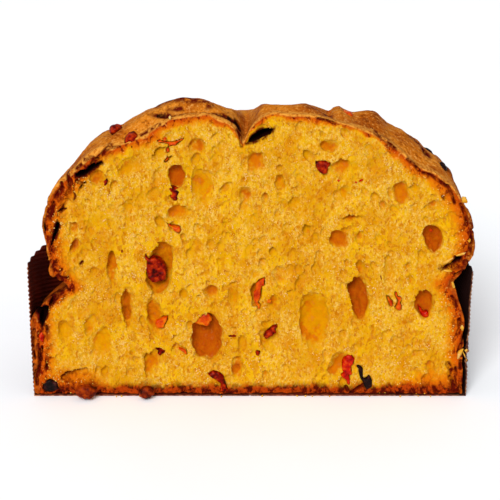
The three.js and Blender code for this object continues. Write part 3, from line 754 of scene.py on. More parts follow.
def carve(field, xs, ys, zs, centre, half, lean, slant=(0, 0), wobble=None):
    """Cuts one leaning ellipsoid out of the field, inside its own box of the grid. slant moves its deep end
    sideways and up, so that one wall overhangs and the other fades into the face."""
    reach = max(half[0], half[2]) + 1.5 + half[1] * max(map(abs, slant))
    spans = []
    for axis, (line, length) in enumerate(zip((xs, ys, zs), (reach, half[1] + 1.5, reach))):
        low = np.searchsorted(line, centre[axis] - length)
        high = np.searchsorted(line, centre[axis] + length)
        spans.append(slice(low, max(high, low)))
    block = tuple(spans)
    if field[block].size == 0:
        return
    y = ys[spans[1]][None, :, None] - centre[1]
    x = xs[spans[0]][:, None, None] - centre[0] - slant[0] * y
    z = zs[spans[2]][None, None, :] - centre[2] - slant[1] * y
    cos, sin = math.cos(lean), math.sin(lean)
    across = x * cos + z * sin
    along = z * cos - x * sin
    scaled = np.sqrt((across / half[0]) ** 2 + (y / half[1]) ** 2 + (along / half[2]) ** 2)
    distance = (scaled - 1) * min(half)
    if wobble is not None:
        distance = distance + wobble[block]
    field[block] = np.maximum(field[block], -distance)


def loaf_field(xs, ys, zs, table, settings):
    """The loaf as a field on the grid: negative inside. Only a band near the crust gets its relief."""
    points = grid_points(xs, ys, zs)
    outer = crust_distance(points, table).astype(np.float32)
    band = np.abs(outer) < 5.5
    outer[band] -= crust_relief(points[band], settings.crust_relief / MM)
    floor = LOAF_FLOOR - points[:, 2]
    return np.maximum(outer, floor).reshape(len(xs), len(ys), len(zs)), points


def bubble_list(settings, table):
    """Seeded small pores on the cut face: centre, half sizes, lean and slant."""
    rng = np.random.default_rng(21)
    count = settings.bubbles
    half = settings.smallest_bubble / MM * rng.uniform(0, 1, count) ** -0.36
    half = np.minimum(half, 2.2)
    x = rng.uniform(-102, 102, count)
    z = rng.uniform(3, 139, count)
    depth = half * rng.uniform(0.6, 1.3, count)
    y = depth * rng.uniform(-0.75, 0.4, count)
    centres = np.stack([x, y, z], 1)
    tall = half * rng.uniform(0.9, 1.9, count)
    lean = np.radians(rng.normal(0, 18, count)) + 0.5 * noise(centres * [1, 0, 1], (45, 45, 45), 22)
    slant = rng.normal((-0.3, 0.4), 0.35, (count, 2))
    room = -crust_distance(centres, table)
    keep = (room > 1.4 + 1.2 * half) & (z > LOAF_FLOOR + 1.6 + tall)
    return list(zip(centres[keep], half[keep], depth[keep], tall[keep], lean[keep], slant[keep]))


def face_relief(points, settings, table):
    """How far the torn crumb lies behind the plane of the cut, in mm."""
    relief = settings.crumb_relief / MM
    fibres = noise(points, (1.3, 3, 4.2), 31) + 0.8 * noise(points, (0.9, 1.5, 1.5), 32)
    swells = noise(points, (9, 9, 14), 33)
    inward = -crust_distance(points, table)
    torn = smoothstep(15, 6, inward) * smoothstep(-62, -80, points[:, 0])
    torn = np.maximum(torn, 0.7 * smoothstep(9, 2, inward) * smoothstep(50, 80, np.abs(points[:, 0])))
    torn = np.maximum(torn, 0.5 * smoothstep(7, 2, points[:, 2]))
    ragged = noise(points, (3.0, 3.4, 3.6), 34) + 0.6 * noise(points, (1.3, 1.5, 1.6), 36)
    flaky = 1.5 * (0.5 - np.abs(noise(points, (4.5, 6, 5.5), 37))) ** 2
    face = relief * (0.6 + 0.5 * fibres + 0.4 * swells) + torn * (1.7 * ragged + flaky)
    # Crevices of the scorched rind
    flat = points * np.array([1, 0, 1], np.float32)
    for path, half in SCORCH_AND_CREVICE_SHADE:
        near = path_distance(flat, [(x, 0, z) for x, z in path]) + 0.3 * half * ragged
        face = face + 1.7 * smoothstep(half + 0.5, 0.3 * half, near)
    width = lip_width(points)
    share = np.clip(1 - inward / np.maximum(width, 0.1), 0, 1)
    return np.minimum(face + 0.8 * width * share ** 2, 6.0)


def carve_crumb(field, xs, ys, zs, points, table, settings):
    """Opens the cut face: torn fibres, pores, slits and the pockets of the fruit."""
    shape = field.shape
    front = points[:, 1] < 6.4
    face = np.full(len(points), -99, np.float32)
    face[front] = face_relief(points[front], settings, table) - points[front, 1]
    field = np.maximum(field, face.reshape(shape))
    wobble = 0.9 * noise(points, (3.6, 3.2, 4.2), 35) + 0.4 * noise(points, (1.4, 1.3, 1.6), 38)
    wobble = wobble.astype(np.float32).reshape(shape)
    for centre, half, depth, tall, lean, slant in bubble_list(settings, table):
        carve(field, xs, ys, zs, centre, (half, depth, tall), lean, slant)
    slants = np.random.default_rng(23).normal((-0.3, 0.4), 0.22, (len(PORES), 2))
    for (x, z, half, tall, lean, tone), slant in zip(PORES, slants):
        depth = min((0.45 + 0.65 * tone) * (half + tall) / 2, 8.6)
        sunk = (0.35 * tone - 0.25) * depth
        spot = (x - sunk * slant[0], sunk, z - sunk * slant[1])
        carve(field, xs, ys, zs, spot, (half, depth, tall), math.radians(lean), slant, wobble)
    flat_x, flat_z = np.meshgrid(xs, zs, indexing="ij")
    for depth, _, outline in SLITS:
        flat = outline_distance(flat_x, flat_z, outline)[:, None, :] + 0.12 * ys[None, :, None] + 0.5 * wobble
        field = np.maximum(field, -np.maximum(flat, (ys - depth)[None, :, None] + 0.8 * wobble))
    for name, (half, outlines) in CUT_FRUIT.items():
        corners = np.array([spot for outline in outlines for spot in outline])
        low, high = corners.min(0) - 2, corners.max(0) + 2
        i = slice(*np.searchsorted(xs, (low[0], high[0])))
        k = slice(*np.searchsorted(zs, (low[1], high[1])))
        pocket = fruit_field(xs[i], ys, zs[k], name) - 0.05
        field[i, :, k] = np.maximum(field[i, :, k], -pocket)
    return field


def wall_tone(points):
    """How much painted shade darkens the walls of the named pores at each point, how black the painted shade is in the
    slits, tears and pits, and how dark red the rind is, partly scorch and partly painted shade at crevices, slit rims
    and tears: 0 to 1 each."""
    tone = np.zeros(len(points))
    # Painted shade on the walls of the named pores, as dark as each is listed
    for x, z, half, tall, lean, value in PORES:
        angle = math.radians(lean)
        dx, dz = points[:, 0] - x, points[:, 2] - z
        across = (dx * math.cos(angle) + dz * math.sin(angle)) / half
        along = (dz * math.cos(angle) - dx * math.sin(angle)) / tall
        np.maximum(tone, value * smoothstep(1.5, 0.85, np.hypot(across, along)), out=tone)
    black = np.zeros(len(points))
    scorch_and_shade = np.zeros(len(points))
    front = points[:, 1] < 12
    # Painted shade: black inside the slits, and dark red at their rims
    for _, dark, outline in SLITS:
        flat = outline_distance(points[front, 0], points[front, 2], outline)
        shadow = dark * smoothstep(0.5, -0.3, flat) * smoothstep(0.2, 2.5, points[front, 1])
        black[front] = np.maximum(black[front], shadow)
        scorch_and_shade[front] = np.maximum(scorch_and_shade[front], smoothstep(1.2, 0.2, flat))
    # Crevices: dark red that is partly scorched rind and partly painted shade
    flat = points[front] * np.array([1, 0, 1], np.float32)
    for path, half in SCORCH_AND_CREVICE_SHADE:
        near = path_distance(flat, [(x, 0, z) for x, z in path])
        scorch_and_shade[front] = np.maximum(scorch_and_shade[front], smoothstep(half + 0.6, 0.4 * half, near))
    # Painted shade: black inside the tears, with dark red around them that is partly scorch and partly painted shade
    for path, half, _ in TEARS:
        near = path_distance(points, path, 2.3 * half)
        np.maximum(black, 0.9 * smoothstep(1.1 * half, 0.4 * half, near), out=black)
        np.maximum(scorch_and_shade, smoothstep(2.2 * half, half, near), out=scorch_and_shade)
    # Painted shade: black inside the pits
    for x, y, z, reach in PITS:
        near = np.sqrt(((points - np.array([x, y, z], np.float32)) ** 2).sum(1))
        np.maximum(black, smoothstep(1.1 * reach, 0.7 * reach, near), out=black)
    for path, half in RIDGES:
        near = path_distance(points, path, 1.6 * half)
        np.maximum(scorch_and_shade, smoothstep(1.5 * half, 0.5 * half, near), out=scorch_and_shade)
    return tone, black, scorch_and_shade


def material(name):
    """A new material with nodes and nothing in it but its output."""
    made = bpy.data.materials.new(name)
    made.use_nodes = True
    made.node_tree.nodes.clear()
    return made


def add(tree, kind, settings=(), inputs=()):
    """Adds a node. Settings are its properties, and inputs hold values or the sockets that feed them."""
    node = tree.nodes.new(kind)
    for key, value in dict(settings).items():
        setattr(node, key, value)
    for key, value in dict(inputs).items():
        if isinstance(value, bpy.types.NodeSocket):
            tree.links.new(value, node.inputs[key])
        else:
            node.inputs[key].default_value = value
    return node


def ramp(tree, value, stops):
    """A colour ramp: stops are (position, hex colour)."""
    node = add(tree, "ShaderNodeValToRGB", inputs={"Fac": value})
    elements = node.color_ramp.elements
    while len(elements) < len(stops):
        elements.new(1.0)
    for element, (position, colour) in zip(elements, stops):
        element.position = position
        element.color = linear(colour)
    return node.outputs["Color"]


def mask(tree, value, low, high):
    """0 below low, 1 above high, smooth between."""
    node = add(tree, "ShaderNodeMapRange", {"interpolation_type": "SMOOTHSTEP"},
               {"Value": value, "From Min": low, "From Max": high})
    return node.outputs["Result"]


def mix(tree, share, first, second, blend="MIX"):
    node = add(tree, "ShaderNodeMix", {"data_type": "RGBA", "blend_type": blend})
    for index, value in ((0, share), (6, first), (7, second)):
        if isinstance(value, bpy.types.NodeSocket):
            tree.links.new(value, node.inputs[index])
        elif isinstance(value, str):
            node.inputs[index].default_value = linear(value)
        else:
            node.inputs[index].default_value = value
    return node.outputs[2]


def calc(tree, operation, first, second=0.0):
    node = add(tree, "ShaderNodeMath", {"operation": operation}, {0: first, 1: second})
    return node.outputs[0]


def grain(tree, size_mm, detail=2.0, stretch=(1, 1, 1), rough=0.5):
    """Noise on object coordinates with a typical patch of size_mm."""
    coords = add(tree, "ShaderNodeTexCoord").outputs["Object"]
    placed = add(tree, "ShaderNodeMapping", inputs={"Vector": coords, "Scale": [1 / s for s in stretch]})
    settings = {"Vector": placed.outputs["Vector"], "Scale": 1 / (size_mm * MM), "Detail": detail,
                "Roughness": rough}
    return add(tree, "ShaderNodeTexNoise", inputs=settings).outputs["Fac"]


def cells(tree, size_mm, stretch=(1, 1, 1)):
    """Foam of uneven cells of about size_mm: how far each point is from the walls, and a random value per cell."""
    coords = add(tree, "ShaderNodeTexCoord").outputs["Object"]
    placed = add(tree, "ShaderNodeMapping", inputs={"Vector": coords, "Scale": [1 / s for s in stretch]})
    scale = 1 / (size_mm * MM)
    warp = add(tree, "ShaderNodeTexNoise", inputs={"Vector": placed.outputs["Vector"], "Scale": scale, "Detail": 2.0})
    bent = add(tree, "ShaderNodeVectorMath", {"operation": "MULTIPLY_ADD"}, {
        0: warp.outputs["Color"], 1: [0.9 * size_mm * MM] * 3, 2: placed.outputs["Vector"],
    })
    where = {"Vector": bent.outputs["Vector"], "Scale": scale}
    walls = add(tree, "ShaderNodeTexVoronoi", {"feature": "DISTANCE_TO_EDGE"}, where)
    centres = add(tree, "ShaderNodeTexVoronoi", {"feature": "F1"}, where)
    value = add(tree, "ShaderNodeSeparateColor", inputs={"Color": centres.outputs["Color"]})
    return walls.outputs["Distance"], value.outputs["Red"]


def attribute(tree, name):
    return add(tree, "ShaderNodeAttribute", {"attribute_name": name}).outputs["Fac"]


def finish_surface(tree, inputs, height, bump_mm, strength=1.0):
    """A Principled surface with a bump of bump_mm."""
    bump = add(tree, "ShaderNodeBump", inputs={"Height": height, "Distance": bump_mm * MM, "Strength": strength})
    shader = add(tree, "ShaderNodeBsdfPrincipled", inputs={**inputs, "Normal": bump.outputs["Normal"]})
    add(tree, "ShaderNodeOutputMaterial", inputs={"Surface": shader.outputs["BSDF"]})
    return shader


def baked_dough(settings):
    """Sweet egg dough, risen, baked and cut. The eye sees a soft golden crumb that lets light in, with pale torn
    fibres and smooth orange walls in its pores, under a dry crust that runs from orange through red-brown to
    burnt where it met the heat."""
    made = material("baked_sweet_dough")
    tree = made.node_tree
    skin = attribute(tree, "skin")
    depth = attribute(tree, "depth")
    tone = attribute(tree, "tone")
    fine = grain(tree, 1.2, 3, (1, 1, 1.3), 0.65)
    fibre = grain(tree, 3.6, 4, (1, 1, 1.9), 0.62)
    broad = grain(tree, 14, 3, (1, 1, 1.4))
    # Torn faces between the pores: saturated gold with a net of cream fibres, and dark pinholes that are painted shade
    gold = mix(tree, mask(tree, broad, 0.38, 0.62), "#BE8400", [*settings.crumb_colour, 1])
    cream = mix(tree, mask(tree, fine, 0.4, 0.66), "#C69418", "#CEA64C")
    creamy = mask(tree, grain(tree, 9, 3, (1, 1, 1.3)), 0.4, 0.62)
    wide_gap, wide_tone = cells(tree, 3.8, (1, 1, 1.4))
    small_gap, small_tone = cells(tree, 1.7, (1, 1, 1.3))
    gold = mix(tree, calc(tree, "MULTIPLY", mask(tree, wide_tone, 0.5, 0.95), 0.7), gold, "#B87000")
    gold = mix(tree, calc(tree, "MULTIPLY", mask(tree, small_tone, 0.66, 0.95), 0.7), gold, "#A85E00")
    web = calc(tree, "MAXIMUM", mask(tree, wide_gap, 0.11, 0.02),
               calc(tree, "MULTIPLY", mask(tree, small_gap, 0.16, 0.04), 0.75))
    strand = calc(tree, "ABSOLUTE", calc(tree, "SUBTRACT", fibre, 0.5))
    web = calc(tree, "MAXIMUM", web, calc(tree, "MULTIPLY", mask(tree, strand, 0.06, 0.012), 0.6))
    pale = add(tree, "ShaderNodeMath", {"operation": "MULTIPLY_ADD"}, {0: creamy, 1: 0.6, 2: 0.22}).outputs[0]
    crumb = mix(tree, calc(tree, "MULTIPLY", web, pale), gold, cream)
    crumb = mix(tree, calc(tree, "MULTIPLY", creamy, mask(tree, fine, 0.5, 0.66)), crumb, cream)
    # Painted shade: small orange-brown dots stand for the shade in pinholes and pits
    pinhole_shade = mask(tree, grain(tree, 1.1, 2, (1, 1, 1.7)), 0.6, 0.7)
    crumb = mix(tree, calc(tree, "MULTIPLY", pinhole_shade, 0.7), crumb, "#A05404")
    pit_shade = mask(tree, grain(tree, 2.8, 2, (1, 1, 1.6)), 0.62, 0.7)
    crumb = mix(tree, calc(tree, "MULTIPLY", pit_shade, 0.55), crumb, "#AE6602")
    # Walls of the pores: smooth gelled starch, golden, turned red-brown by painted shade as they go in
    mottle = grain(tree, 2.6, 3, (1, 1, 1.2), 0.6)
    # Painted shade: the walls darken with depth behind the cut, by the tone of the named pores and in random patches
    deep = calc(tree, "MULTIPLY", tone, mask(tree, depth, 0.2, 3.2))
    varied = calc(tree, "MULTIPLY", mask(tree, grain(tree, 6, 2), 0.46, 0.66), mask(tree, depth, 0.3, 1.8))
    deep = calc(tree, "MAXIMUM", deep, calc(tree, "MULTIPLY", varied, 0.5))
    shade = calc(tree, "ADD", deep, calc(tree, "MULTIPLY", calc(tree, "SUBTRACT", mottle, 0.5), 0.8))
    wall = ramp(tree, shade, [
        (0.0, "#C08600"), (0.25, "#BE7C00"), (0.5, "#BA6602"), (0.75, "#AC5602"), (1.0, "#A24402"),
    ])
    bloom = calc(tree, "MULTIPLY", mask(tree, mottle, 0.58, 0.72), 0.2)
    wall = mix(tree, bloom, wall, "#BC8440")
    frayed = calc(tree, "ADD", depth, calc(tree, "MULTIPLY", calc(tree, "SUBTRACT", mottle, 0.5), 3.0))
    crumb = mix(tree, mask(tree, frayed, 0.5, 3.0), crumb, wall)
    # The browned zone under the crust is thin over the dome and broad at the shoulders and inside the case
    coords = add(tree, "ShaderNodeSeparateXYZ",
                 inputs={"Vector": add(tree, "ShaderNodeTexCoord").outputs["Object"]})
    left = mask(tree, coords.outputs["X"], -0.060, -0.086)
    right = mask(tree, coords.outputs["X"], 0.055, 0.095)
    side = calc(tree, "ADD", calc(tree, "MULTIPLY", left, 8.0), calc(tree, "MULTIPLY", right, 6.5))
    score = calc(tree, "MULTIPLY", mask(tree, coords.outputs["X"], -0.004, -0.014),
                 mask(tree, coords.outputs["Z"], 0.1, 0.115))
    side = calc(tree, "ADD", side, calc(tree, "MULTIPLY", score, 2.0))
    patchy = grain(tree, 5, 5, (1, 1, 1.3), 0.65)
    reach = calc(tree, "ADD", side, 3.6)
    uneven = calc(tree, "MULTIPLY", calc(tree, "SUBTRACT", patchy, 0.5), 8.0)
    browned = calc(tree, "DIVIDE", calc(tree, "ADD", skin, uneven), reach)
    zone = ramp(tree, browned, [(0.0, "#9A3202"), (0.3, "#B44E04"), (0.6, "#C06804"), (0.9, "#C88202")])
    dark = calc(tree, "ADD", grain(tree, 2.4, 5, (1, 1, 1.5), 0.68), calc(tree, "MULTIPLY", left, 0.04))
    spots = mask(tree, dark, 0.51, 0.59)
    near = mask(tree, browned, 0.95, 0.15)
    zone = mix(tree, calc(tree, "MULTIPLY", spots, near), zone, "#620E02")
    glint = mask(tree, grain(tree, 1.7, 3), 0.62, 0.7)
    zone = mix(tree, calc(tree, "MULTIPLY", glint, 0.5), zone, "#D89440")
    crumb = mix(tree, mask(tree, browned, 0.55, 1.15), zone, crumb)
    # The foot burnt on the hot tray
    flecks = grain(tree, 1.6, 5, (1, 1, 1), 0.7)
    level = calc(tree, "ADD", coords.outputs["Z"], calc(tree, "MULTIPLY", calc(tree, "SUBTRACT", patchy, 0.5), 0.008))
    foot = mask(tree, level, LOAF_FLOOR * MM + 0.0022, LOAF_FLOOR * MM + 0.0066)
    burnt = mix(tree, mask(tree, mottle, 0.4, 0.58), "#4A0A02", "#9C3604")
    burnt = mix(tree, mask(tree, flecks, 0.56, 0.68), burnt, "#1C0502")
    crumb = mix(tree, foot, burnt, crumb)
    # Outside, the crust is tan where it rose last and dark where it bulged to the heat
    patches = grain(tree, 24, 5, (1, 1, 1), 0.6)
    crust = ramp(tree, patches, [(0.32, "#5A1C04"), (0.43, "#9C4C06"), (0.54, "#BC6C14"), (0.7, "#C88028")])
    crust = mix(tree, calc(tree, "MULTIPLY", mask(tree, flecks, 0.52, 0.64), 0.6), crust, "#4E1A04")
    crust = mix(tree, calc(tree, "MULTIPLY", mask(tree, flecks, 0.47, 0.38), 0.55), crust, "#D29648")
    # The rim of the crust at the cut stayed pale, a thin burnt line parts it from the dome
    rim = calc(tree, "MULTIPLY", mask(tree, coords.outputs["Y"], CUT_Y * MM + 0.0055, CUT_Y * MM + 0.0035),
               mask(tree, coords.outputs["Z"], 0.098, 0.112))
    rim_colour = mix(tree, mask(tree, flecks, 0.46, 0.62), "#CE8C34", "#A8580E")
    crust = mix(tree, calc(tree, "MULTIPLY", rim, 0.75), crust, rim_colour)
    # Painted shade on the crust low down, inside the case, where the paper stands close
    case_shade = mask(tree, coords.outputs["Z"], 0.072, 0.060)
    crust = mix(tree, calc(tree, "MULTIPLY", case_shade, 0.8), crust, mix(tree, mask(tree, mottle, 0.45, 0.6), "#A84806", "#7A2004"))
    inside = mask(tree, skin, 0.3, 1.3)
    colour = mix(tree, inside, crust, crumb)
    # Dark red of scorched rind and burnt ridges, and painted shade at crevices, slit rims and tears
    scorch_and_shade = calc(tree, "MULTIPLY", attribute(tree, "scorch_and_shade"), mask(tree, mottle, 0.3, 0.55))
    colour = mix(tree, scorch_and_shade, colour, "#500802")
    # Painted shade: black in the slits, tears and pits
    colour = mix(tree, attribute(tree, "black"), colour, "#160303")
    rough = add(tree, "ShaderNodeMath", {"operation": "MULTIPLY_ADD"}, {0: inside, 1: 0.2, 2: 0.65}).outputs[0]
    height = calc(tree, "ADD", fine, calc(tree, "MULTIPLY", flecks, 0.7))
    finish_surface(tree, {
        "Base Color": colour, "Roughness": rough, "IOR": 1.42, "Specular IOR Level": 0.03,
        "Subsurface Weight": calc(tree, "MULTIPLY", inside, 0.35),
        "Subsurface Radius": (1.0, 0.5, 0.08), "Subsurface Scale": 0.9 * MM,
    }, height, 0.4, 0.8)
    return made


def torn_crumb():
    """The same crumb where it tore into small pale grains: dry, matt and nearly cream."""
    made = material("torn_crumb_grains")
    tree = made.node_tree
    tone = grain(tree, 5, 3)
    colour = ramp(tree, tone, [(0.35, "#C08410"), (0.5, "#CC9A3A"), (0.68, "#D4AE74")])
    finish_surface(tree, {
        "Base Color": colour, "Roughness": 0.9, "Specular IOR Level": 0.1,
        "Subsurface Weight": 0.3, "Subsurface Radius": (1.0, 0.5, 0.1), "Subsurface Scale": 0.5 * MM,
    }, grain(tree, 0.6, 2), 0.1)
    return made


def case_paper():
    """Brown grease-resistant baking paper, pressed into ribs. Matt and dark, mottled where fat soaked in, with
    pale raw fibres on its cut edges, and painted almost black on the right of the case as painted shade."""
    made = material("ribbed_baking_paper")
    tree = made.node_tree
    edge = attribute(tree, "edge")
    soak = grain(tree, 18, 3)
    fibres = grain(tree, 0.6, 3, (3, 3, 1))
    base = mix(tree, mask(tree, soak, 0.35, 0.65), "#4A0E04", "#701C0A")
    base = mix(tree, calc(tree, "MULTIPLY", mask(tree, fibres, 0.5, 0.75), 0.25), base, "#6A2A16")
    raw = mix(tree, mask(tree, grain(tree, 2.2, 2), 0.42, 0.58), "#5A1A08", "#B07850")
    coords = add(tree, "ShaderNodeSeparateXYZ",
                 inputs={"Vector": add(tree, "ShaderNodeTexCoord").outputs["Object"]})
    # Painted shade: the paper on the right of the case is painted nearly black
    base = mix(tree, mask(tree, coords.outputs["X"], 0.09, 0.10), base, "#1C0402")
    colour = mix(tree, edge, base, raw)
    finish_surface(tree, {"Base Color": colour, "Roughness": 0.62, "Specular IOR Level": 0.25}, fibres, 0.08)
    return made


def raisin_skin():
    """A dried grape: dark wrinkled skin with a half gloss, red where light passes its edge."""
    made = material("raisin_skin")
    tree = made.node_tree
    tone = grain(tree, 2.5, 3)
    colour = ramp(tree, tone, [(0.32, "#260200"), (0.5, "#740A00"), (0.68, "#AC3000")])
    finish_surface(tree, {
        "Base Color": colour, "Roughness": 0.32, "IOR": 1.42, "Specular IOR Level": 0.06,
        "Subsurface Weight": 0.2, "Subsurface Radius": (1.0, 0.1, 0.03), "Subsurface Scale": 0.8 * MM,
    }, grain(tree, 1.2, 3), 0.25)
    return made


def scorched_raisin():
    """A raisin that lay bare in the oven: shrunk, nearly black, with a dull violet-brown bloom."""
    made = material("scorched_raisin")
    tree = made.node_tree
    tone = grain(tree, 2.0, 4)
    colour = ramp(tree, tone, [(0.35, "#060101"), (0.52, "#160404"), (0.7, "#3A100A")])
    finish_surface(tree, {"Base Color": colour, "Roughness": 0.45, "Specular IOR Level": 0.08}, grain(tree, 0.9, 4), 0.3)
    return made


def browned_fruit():
    """Fruit that stuck to the hot floor of the case: its sugar turned to a brown caramel crust."""
    made = material("caramelised_fruit")
    tree = made.node_tree
    tone = grain(tree, 3, 4)
    colour = ramp(tree, tone, [(0.35, "#240600"), (0.5, "#621600"), (0.68, "#963600")])
    finish_surface(tree, {"Base Color": colour, "Roughness": 0.5, "Specular IOR Level": 0.05}, grain(tree, 1.0, 4), 0.3)
    return made


def candied_peel():
    """Orange peel boiled in sugar: a clear orange jelly with a firm edge and a wet gloss."""
    made = material("candied_orange_peel")
    tree = made.node_tree
    tone = grain(tree, 3, 3)
    colour = ramp(tree, tone, [(0.3, "#9A1E00"), (0.5, "#BE4200"), (0.72, "#C87400")])
    finish_surface(tree, {
        "Base Color": colour, "Roughness": 0.3, "IOR": 1.44, "Specular IOR Level": 0.08,
        "Subsurface Weight": 0.5, "Subsurface Radius": (1.0, 0.3, 0.05), "Subsurface Scale": 1.0 * MM,
    }, grain(tree, 1.4, 2), 0.2)
    return made


def candied_cherry():
    """Cherry dyed red and boiled in sugar: a bright clear red with a wet gloss."""
    made = material("candied_cherry")
    tree = made.node_tree
    tone = grain(tree, 3, 3)
    colour = ramp(tree, tone, [(0.3, "#7A0200"), (0.5, "#A80E00"), (0.72, "#C44000")])
    finish_surface(tree, {
        "Base Color": colour, "Roughness": 0.26, "IOR": 1.44, "Specular IOR Level": 0.1,
        "Subsurface Weight": 0.4, "Subsurface Radius": (1.0, 0.1, 0.04), "Subsurface Scale": 1.0 * MM,
    }, grain(tree, 1.4, 2), 0.2)
    return made


def floor_finish():
    """Matt white table laminate: even, with the faintest mottle."""
    made = material("white_laminate")
    tree = made.node_tree
    tone = grain(tree, 60, 2)
    colour = mix(tree, tone, "#F5F7FA", "#FAFBFE")
    finish_surface(tree, {"Base Color": colour, "Roughness": 0.8}, grain(tree, 5, 1), 0.01)
    return made


def fruit_material(kind):
    """One material for each kind of small piece, made once."""
    makers = {"raisin": raisin_skin, "scorched": scorched_raisin, "browned": browned_fruit, "peel": candied_peel,
              "cherry": candied_cherry, "bread": torn_crumb}
    names = {"raisin": "raisin_skin", "scorched": "scorched_raisin", "browned": "caramelised_fruit",
             "peel": "candied_orange_peel", "cherry": "candied_cherry", "bread": "torn_crumb_grains"}
    return bpy.data.materials.get(names[kind]) or makers[kind]()


def plain_mesh(thing):
    """Takes an object's modifiers into its mesh and clears them."""
    graph = bpy.context.evaluated_depsgraph_get()
    made = bpy.data.meshes.new_from_object(thing.evaluated_get(graph), preserve_all_data_layers=True,
                                           depsgraph=graph)
    thing.modifiers.clear()
    thing.data = made
    return thing


def close_holes(thing):
    """Caps the open back of a piece with one flat, hidden face."""
    shape = bmesh.new()
    shape.from_mesh(thing.data)
    rims = [edge for edge in shape.edges if edge.is_boundary]
    filled = bmesh.ops.holes_fill(shape, edges=rims, sides=0)
    bmesh.ops.triangulate(shape, faces=filled["faces"])
    shape.to_mesh(thing.data)
    shape.free()


def slab(thing, low, high):
    """The part of a closed piece between two upright planes, x in mm, as a new object."""
    box = bmesh.new()
    bmesh.ops.create_cube(box, size=1)
    for corner in box.verts:
        x = high if corner.co.x > 0 else low
        corner.co = Vector((x, corner.co.y * 600, corner.co.z * 600)) * MM
    mesh = bpy.data.meshes.new("knife")
    box.to_mesh(mesh)
    box.free()
    knife = bpy.data.objects.new("knife", mesh)
    part = bpy.data.objects.new("part", thing.data.copy())
    for made in (knife, part):
        bpy.context.scene.collection.objects.link(made)
    cut = part.modifiers.new("cut", "BOOLEAN")
    cut.operation = "INTERSECT"
    cut.solver = "MANIFOLD"
    cut.object = knife
    plain_mesh(part)
    bpy.data.objects.remove(knife)
    return part


def sharpen_flat_sides(mesh):
    """Marks the borders of the flat sides of a slab as sharp, so that the smooth crumb keeps its shading there."""
    count = len(mesh.polygons)
    normals = np.empty(count * 3)
    mesh.polygons.foreach_get("normal", normals)
    side = np.abs(normals.reshape(-1, 3)[:, 0]) > 0.99999
    totals = np.empty(count, np.int64)
    mesh.polygons.foreach_get("loop_total", totals)
    edges = np.empty(len(mesh.loops), np.int64)
    mesh.loops.foreach_get("edge_index", edges)
    of_side = np.repeat(side, totals)
    sharp = np.zeros(len(mesh.edges), bool)
    sharp[np.intersect1d(edges[of_side], edges[~of_side])] = True
    layer = mesh.attributes.get("sharp_edge") or mesh.attributes.new("sharp_edge", "BOOLEAN", "EDGE")
    layer.data.foreach_set("value", sharp)


class PANETTONE_OT_loaf(bpy.types.Operator):
    """Makes the bread: a fine front with the cut face and a dome behind it"""

    bl_idname = "panettone.loaf"
    bl_label = "Loaf"

    def execute(self, context):
        settings = context.scene.panettone_loaf
        table = crust_table()
        fine = settings.front_step / MM * 1
        coarse = settings.back_step / MM
        low, high = LOAF_BOX
        xs = np.arange(low.x - 2, high.x + 2, fine)
        zs = np.arange(LOAF_FLOOR - 1.3, high.z + 3, fine)
        ys = [-2.2]
        while ys[-1] < FRONT_DEPTH:
            ys.append(ys[-1] + fine * (1 + 0.22 * max(ys[-1] - 2, 0)))
        ys = np.array(ys)
        field, points = loaf_field(xs, ys, zs, table, settings)
        field = carve_crumb(field, xs, ys, zs, points, table, settings)
        # The last millimetres dive under the dome
        dive = 0.8 * smoothstep(FRONT_DEPTH - 1.8, FRONT_DEPTH, ys)
        field = np.maximum(field, field + dive[None, :, None])
        vertices, quads = largest_body(*surface_nets(field, xs, ys, zs))
        dough = baked_dough(settings)
        whole = mesh_object("front", vertices, quads)
        close_holes(whole)
        for number, (left, right) in enumerate(zip(SLAB_EDGES, SLAB_EDGES[1:])):
            piece = slab(whole, left, right)
            piece.name = f"crumb_{number + 1}"
            self.bread(piece, table, dough, settings)
        bpy.data.objects.remove(whole)
        xs = np.arange(low.x - 3, high.x + 3, coarse)
        zs = np.arange(LOAF_FLOOR - 1.3, high.z + 4, coarse)
        ys = np.arange(BACK_START, high.y - CUT_Y + 3, coarse)
        field, points = loaf_field(xs, ys, zs, table, settings)
        dive = 0.8 * smoothstep(BACK_START + 1.8, BACK_START, ys)
        field = np.maximum(field, field + dive[None, :, None])
        vertices, quads = largest_body(*surface_nets(field, xs, ys, zs))
        dome = mesh_object("crust_dome", vertices, quads)
        close_holes(dome)
        self.bread(dome, table, dough, settings)
        return {"FINISHED"}

    def bread(self, piece, table, dough, settings):
        """Gives a piece of the bread its distances under the crust and behind the cut, in mm, and its material."""
        mesh = piece.data
        points = np.empty(len(mesh.vertices) * 3, np.float32)
        mesh.vertices.foreach_get("co", points)
        points = points.reshape(-1, 3) / np.float32(MM) - np.array([0, CUT_Y, 0], np.float32)
        skin = np.minimum(-crust_distance(points, table), 60)
        skin = skin - lip_width(points) * (0.9 + 0.35 * noise(points, (4, 4, 4), 39))
        above = points[:, 2] - LOAF_FLOOR
        skin = np.where(above > 0.2, np.minimum(skin, 1.4 + 0.6 * above), skin)
        face = np.where(points[:, 1] < 12, face_relief(points, settings, table), 0)
        tone, black, scorch_and_shade = wall_tone(points)
        depth = points[:, 1] - face
        layers = {"skin": skin, "depth": depth, "tone": tone, "black": black, "scorch_and_shade": scorch_and_shade}
        for name, values in layers.items():
            layer = mesh.attributes.new(name, "FLOAT", "POINT")
            layer.data.foreach_set("value", values.astype(np.float32))
        mesh.shade_smooth()
        sharpen_flat_sides(mesh)
        mesh.materials.clear()
        mesh.materials.append(dough)
        print(piece.name, "triangles", sum(len(p.vertices) - 2 for p in mesh.polygons))
        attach(piece, "root")
        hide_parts("loaf")


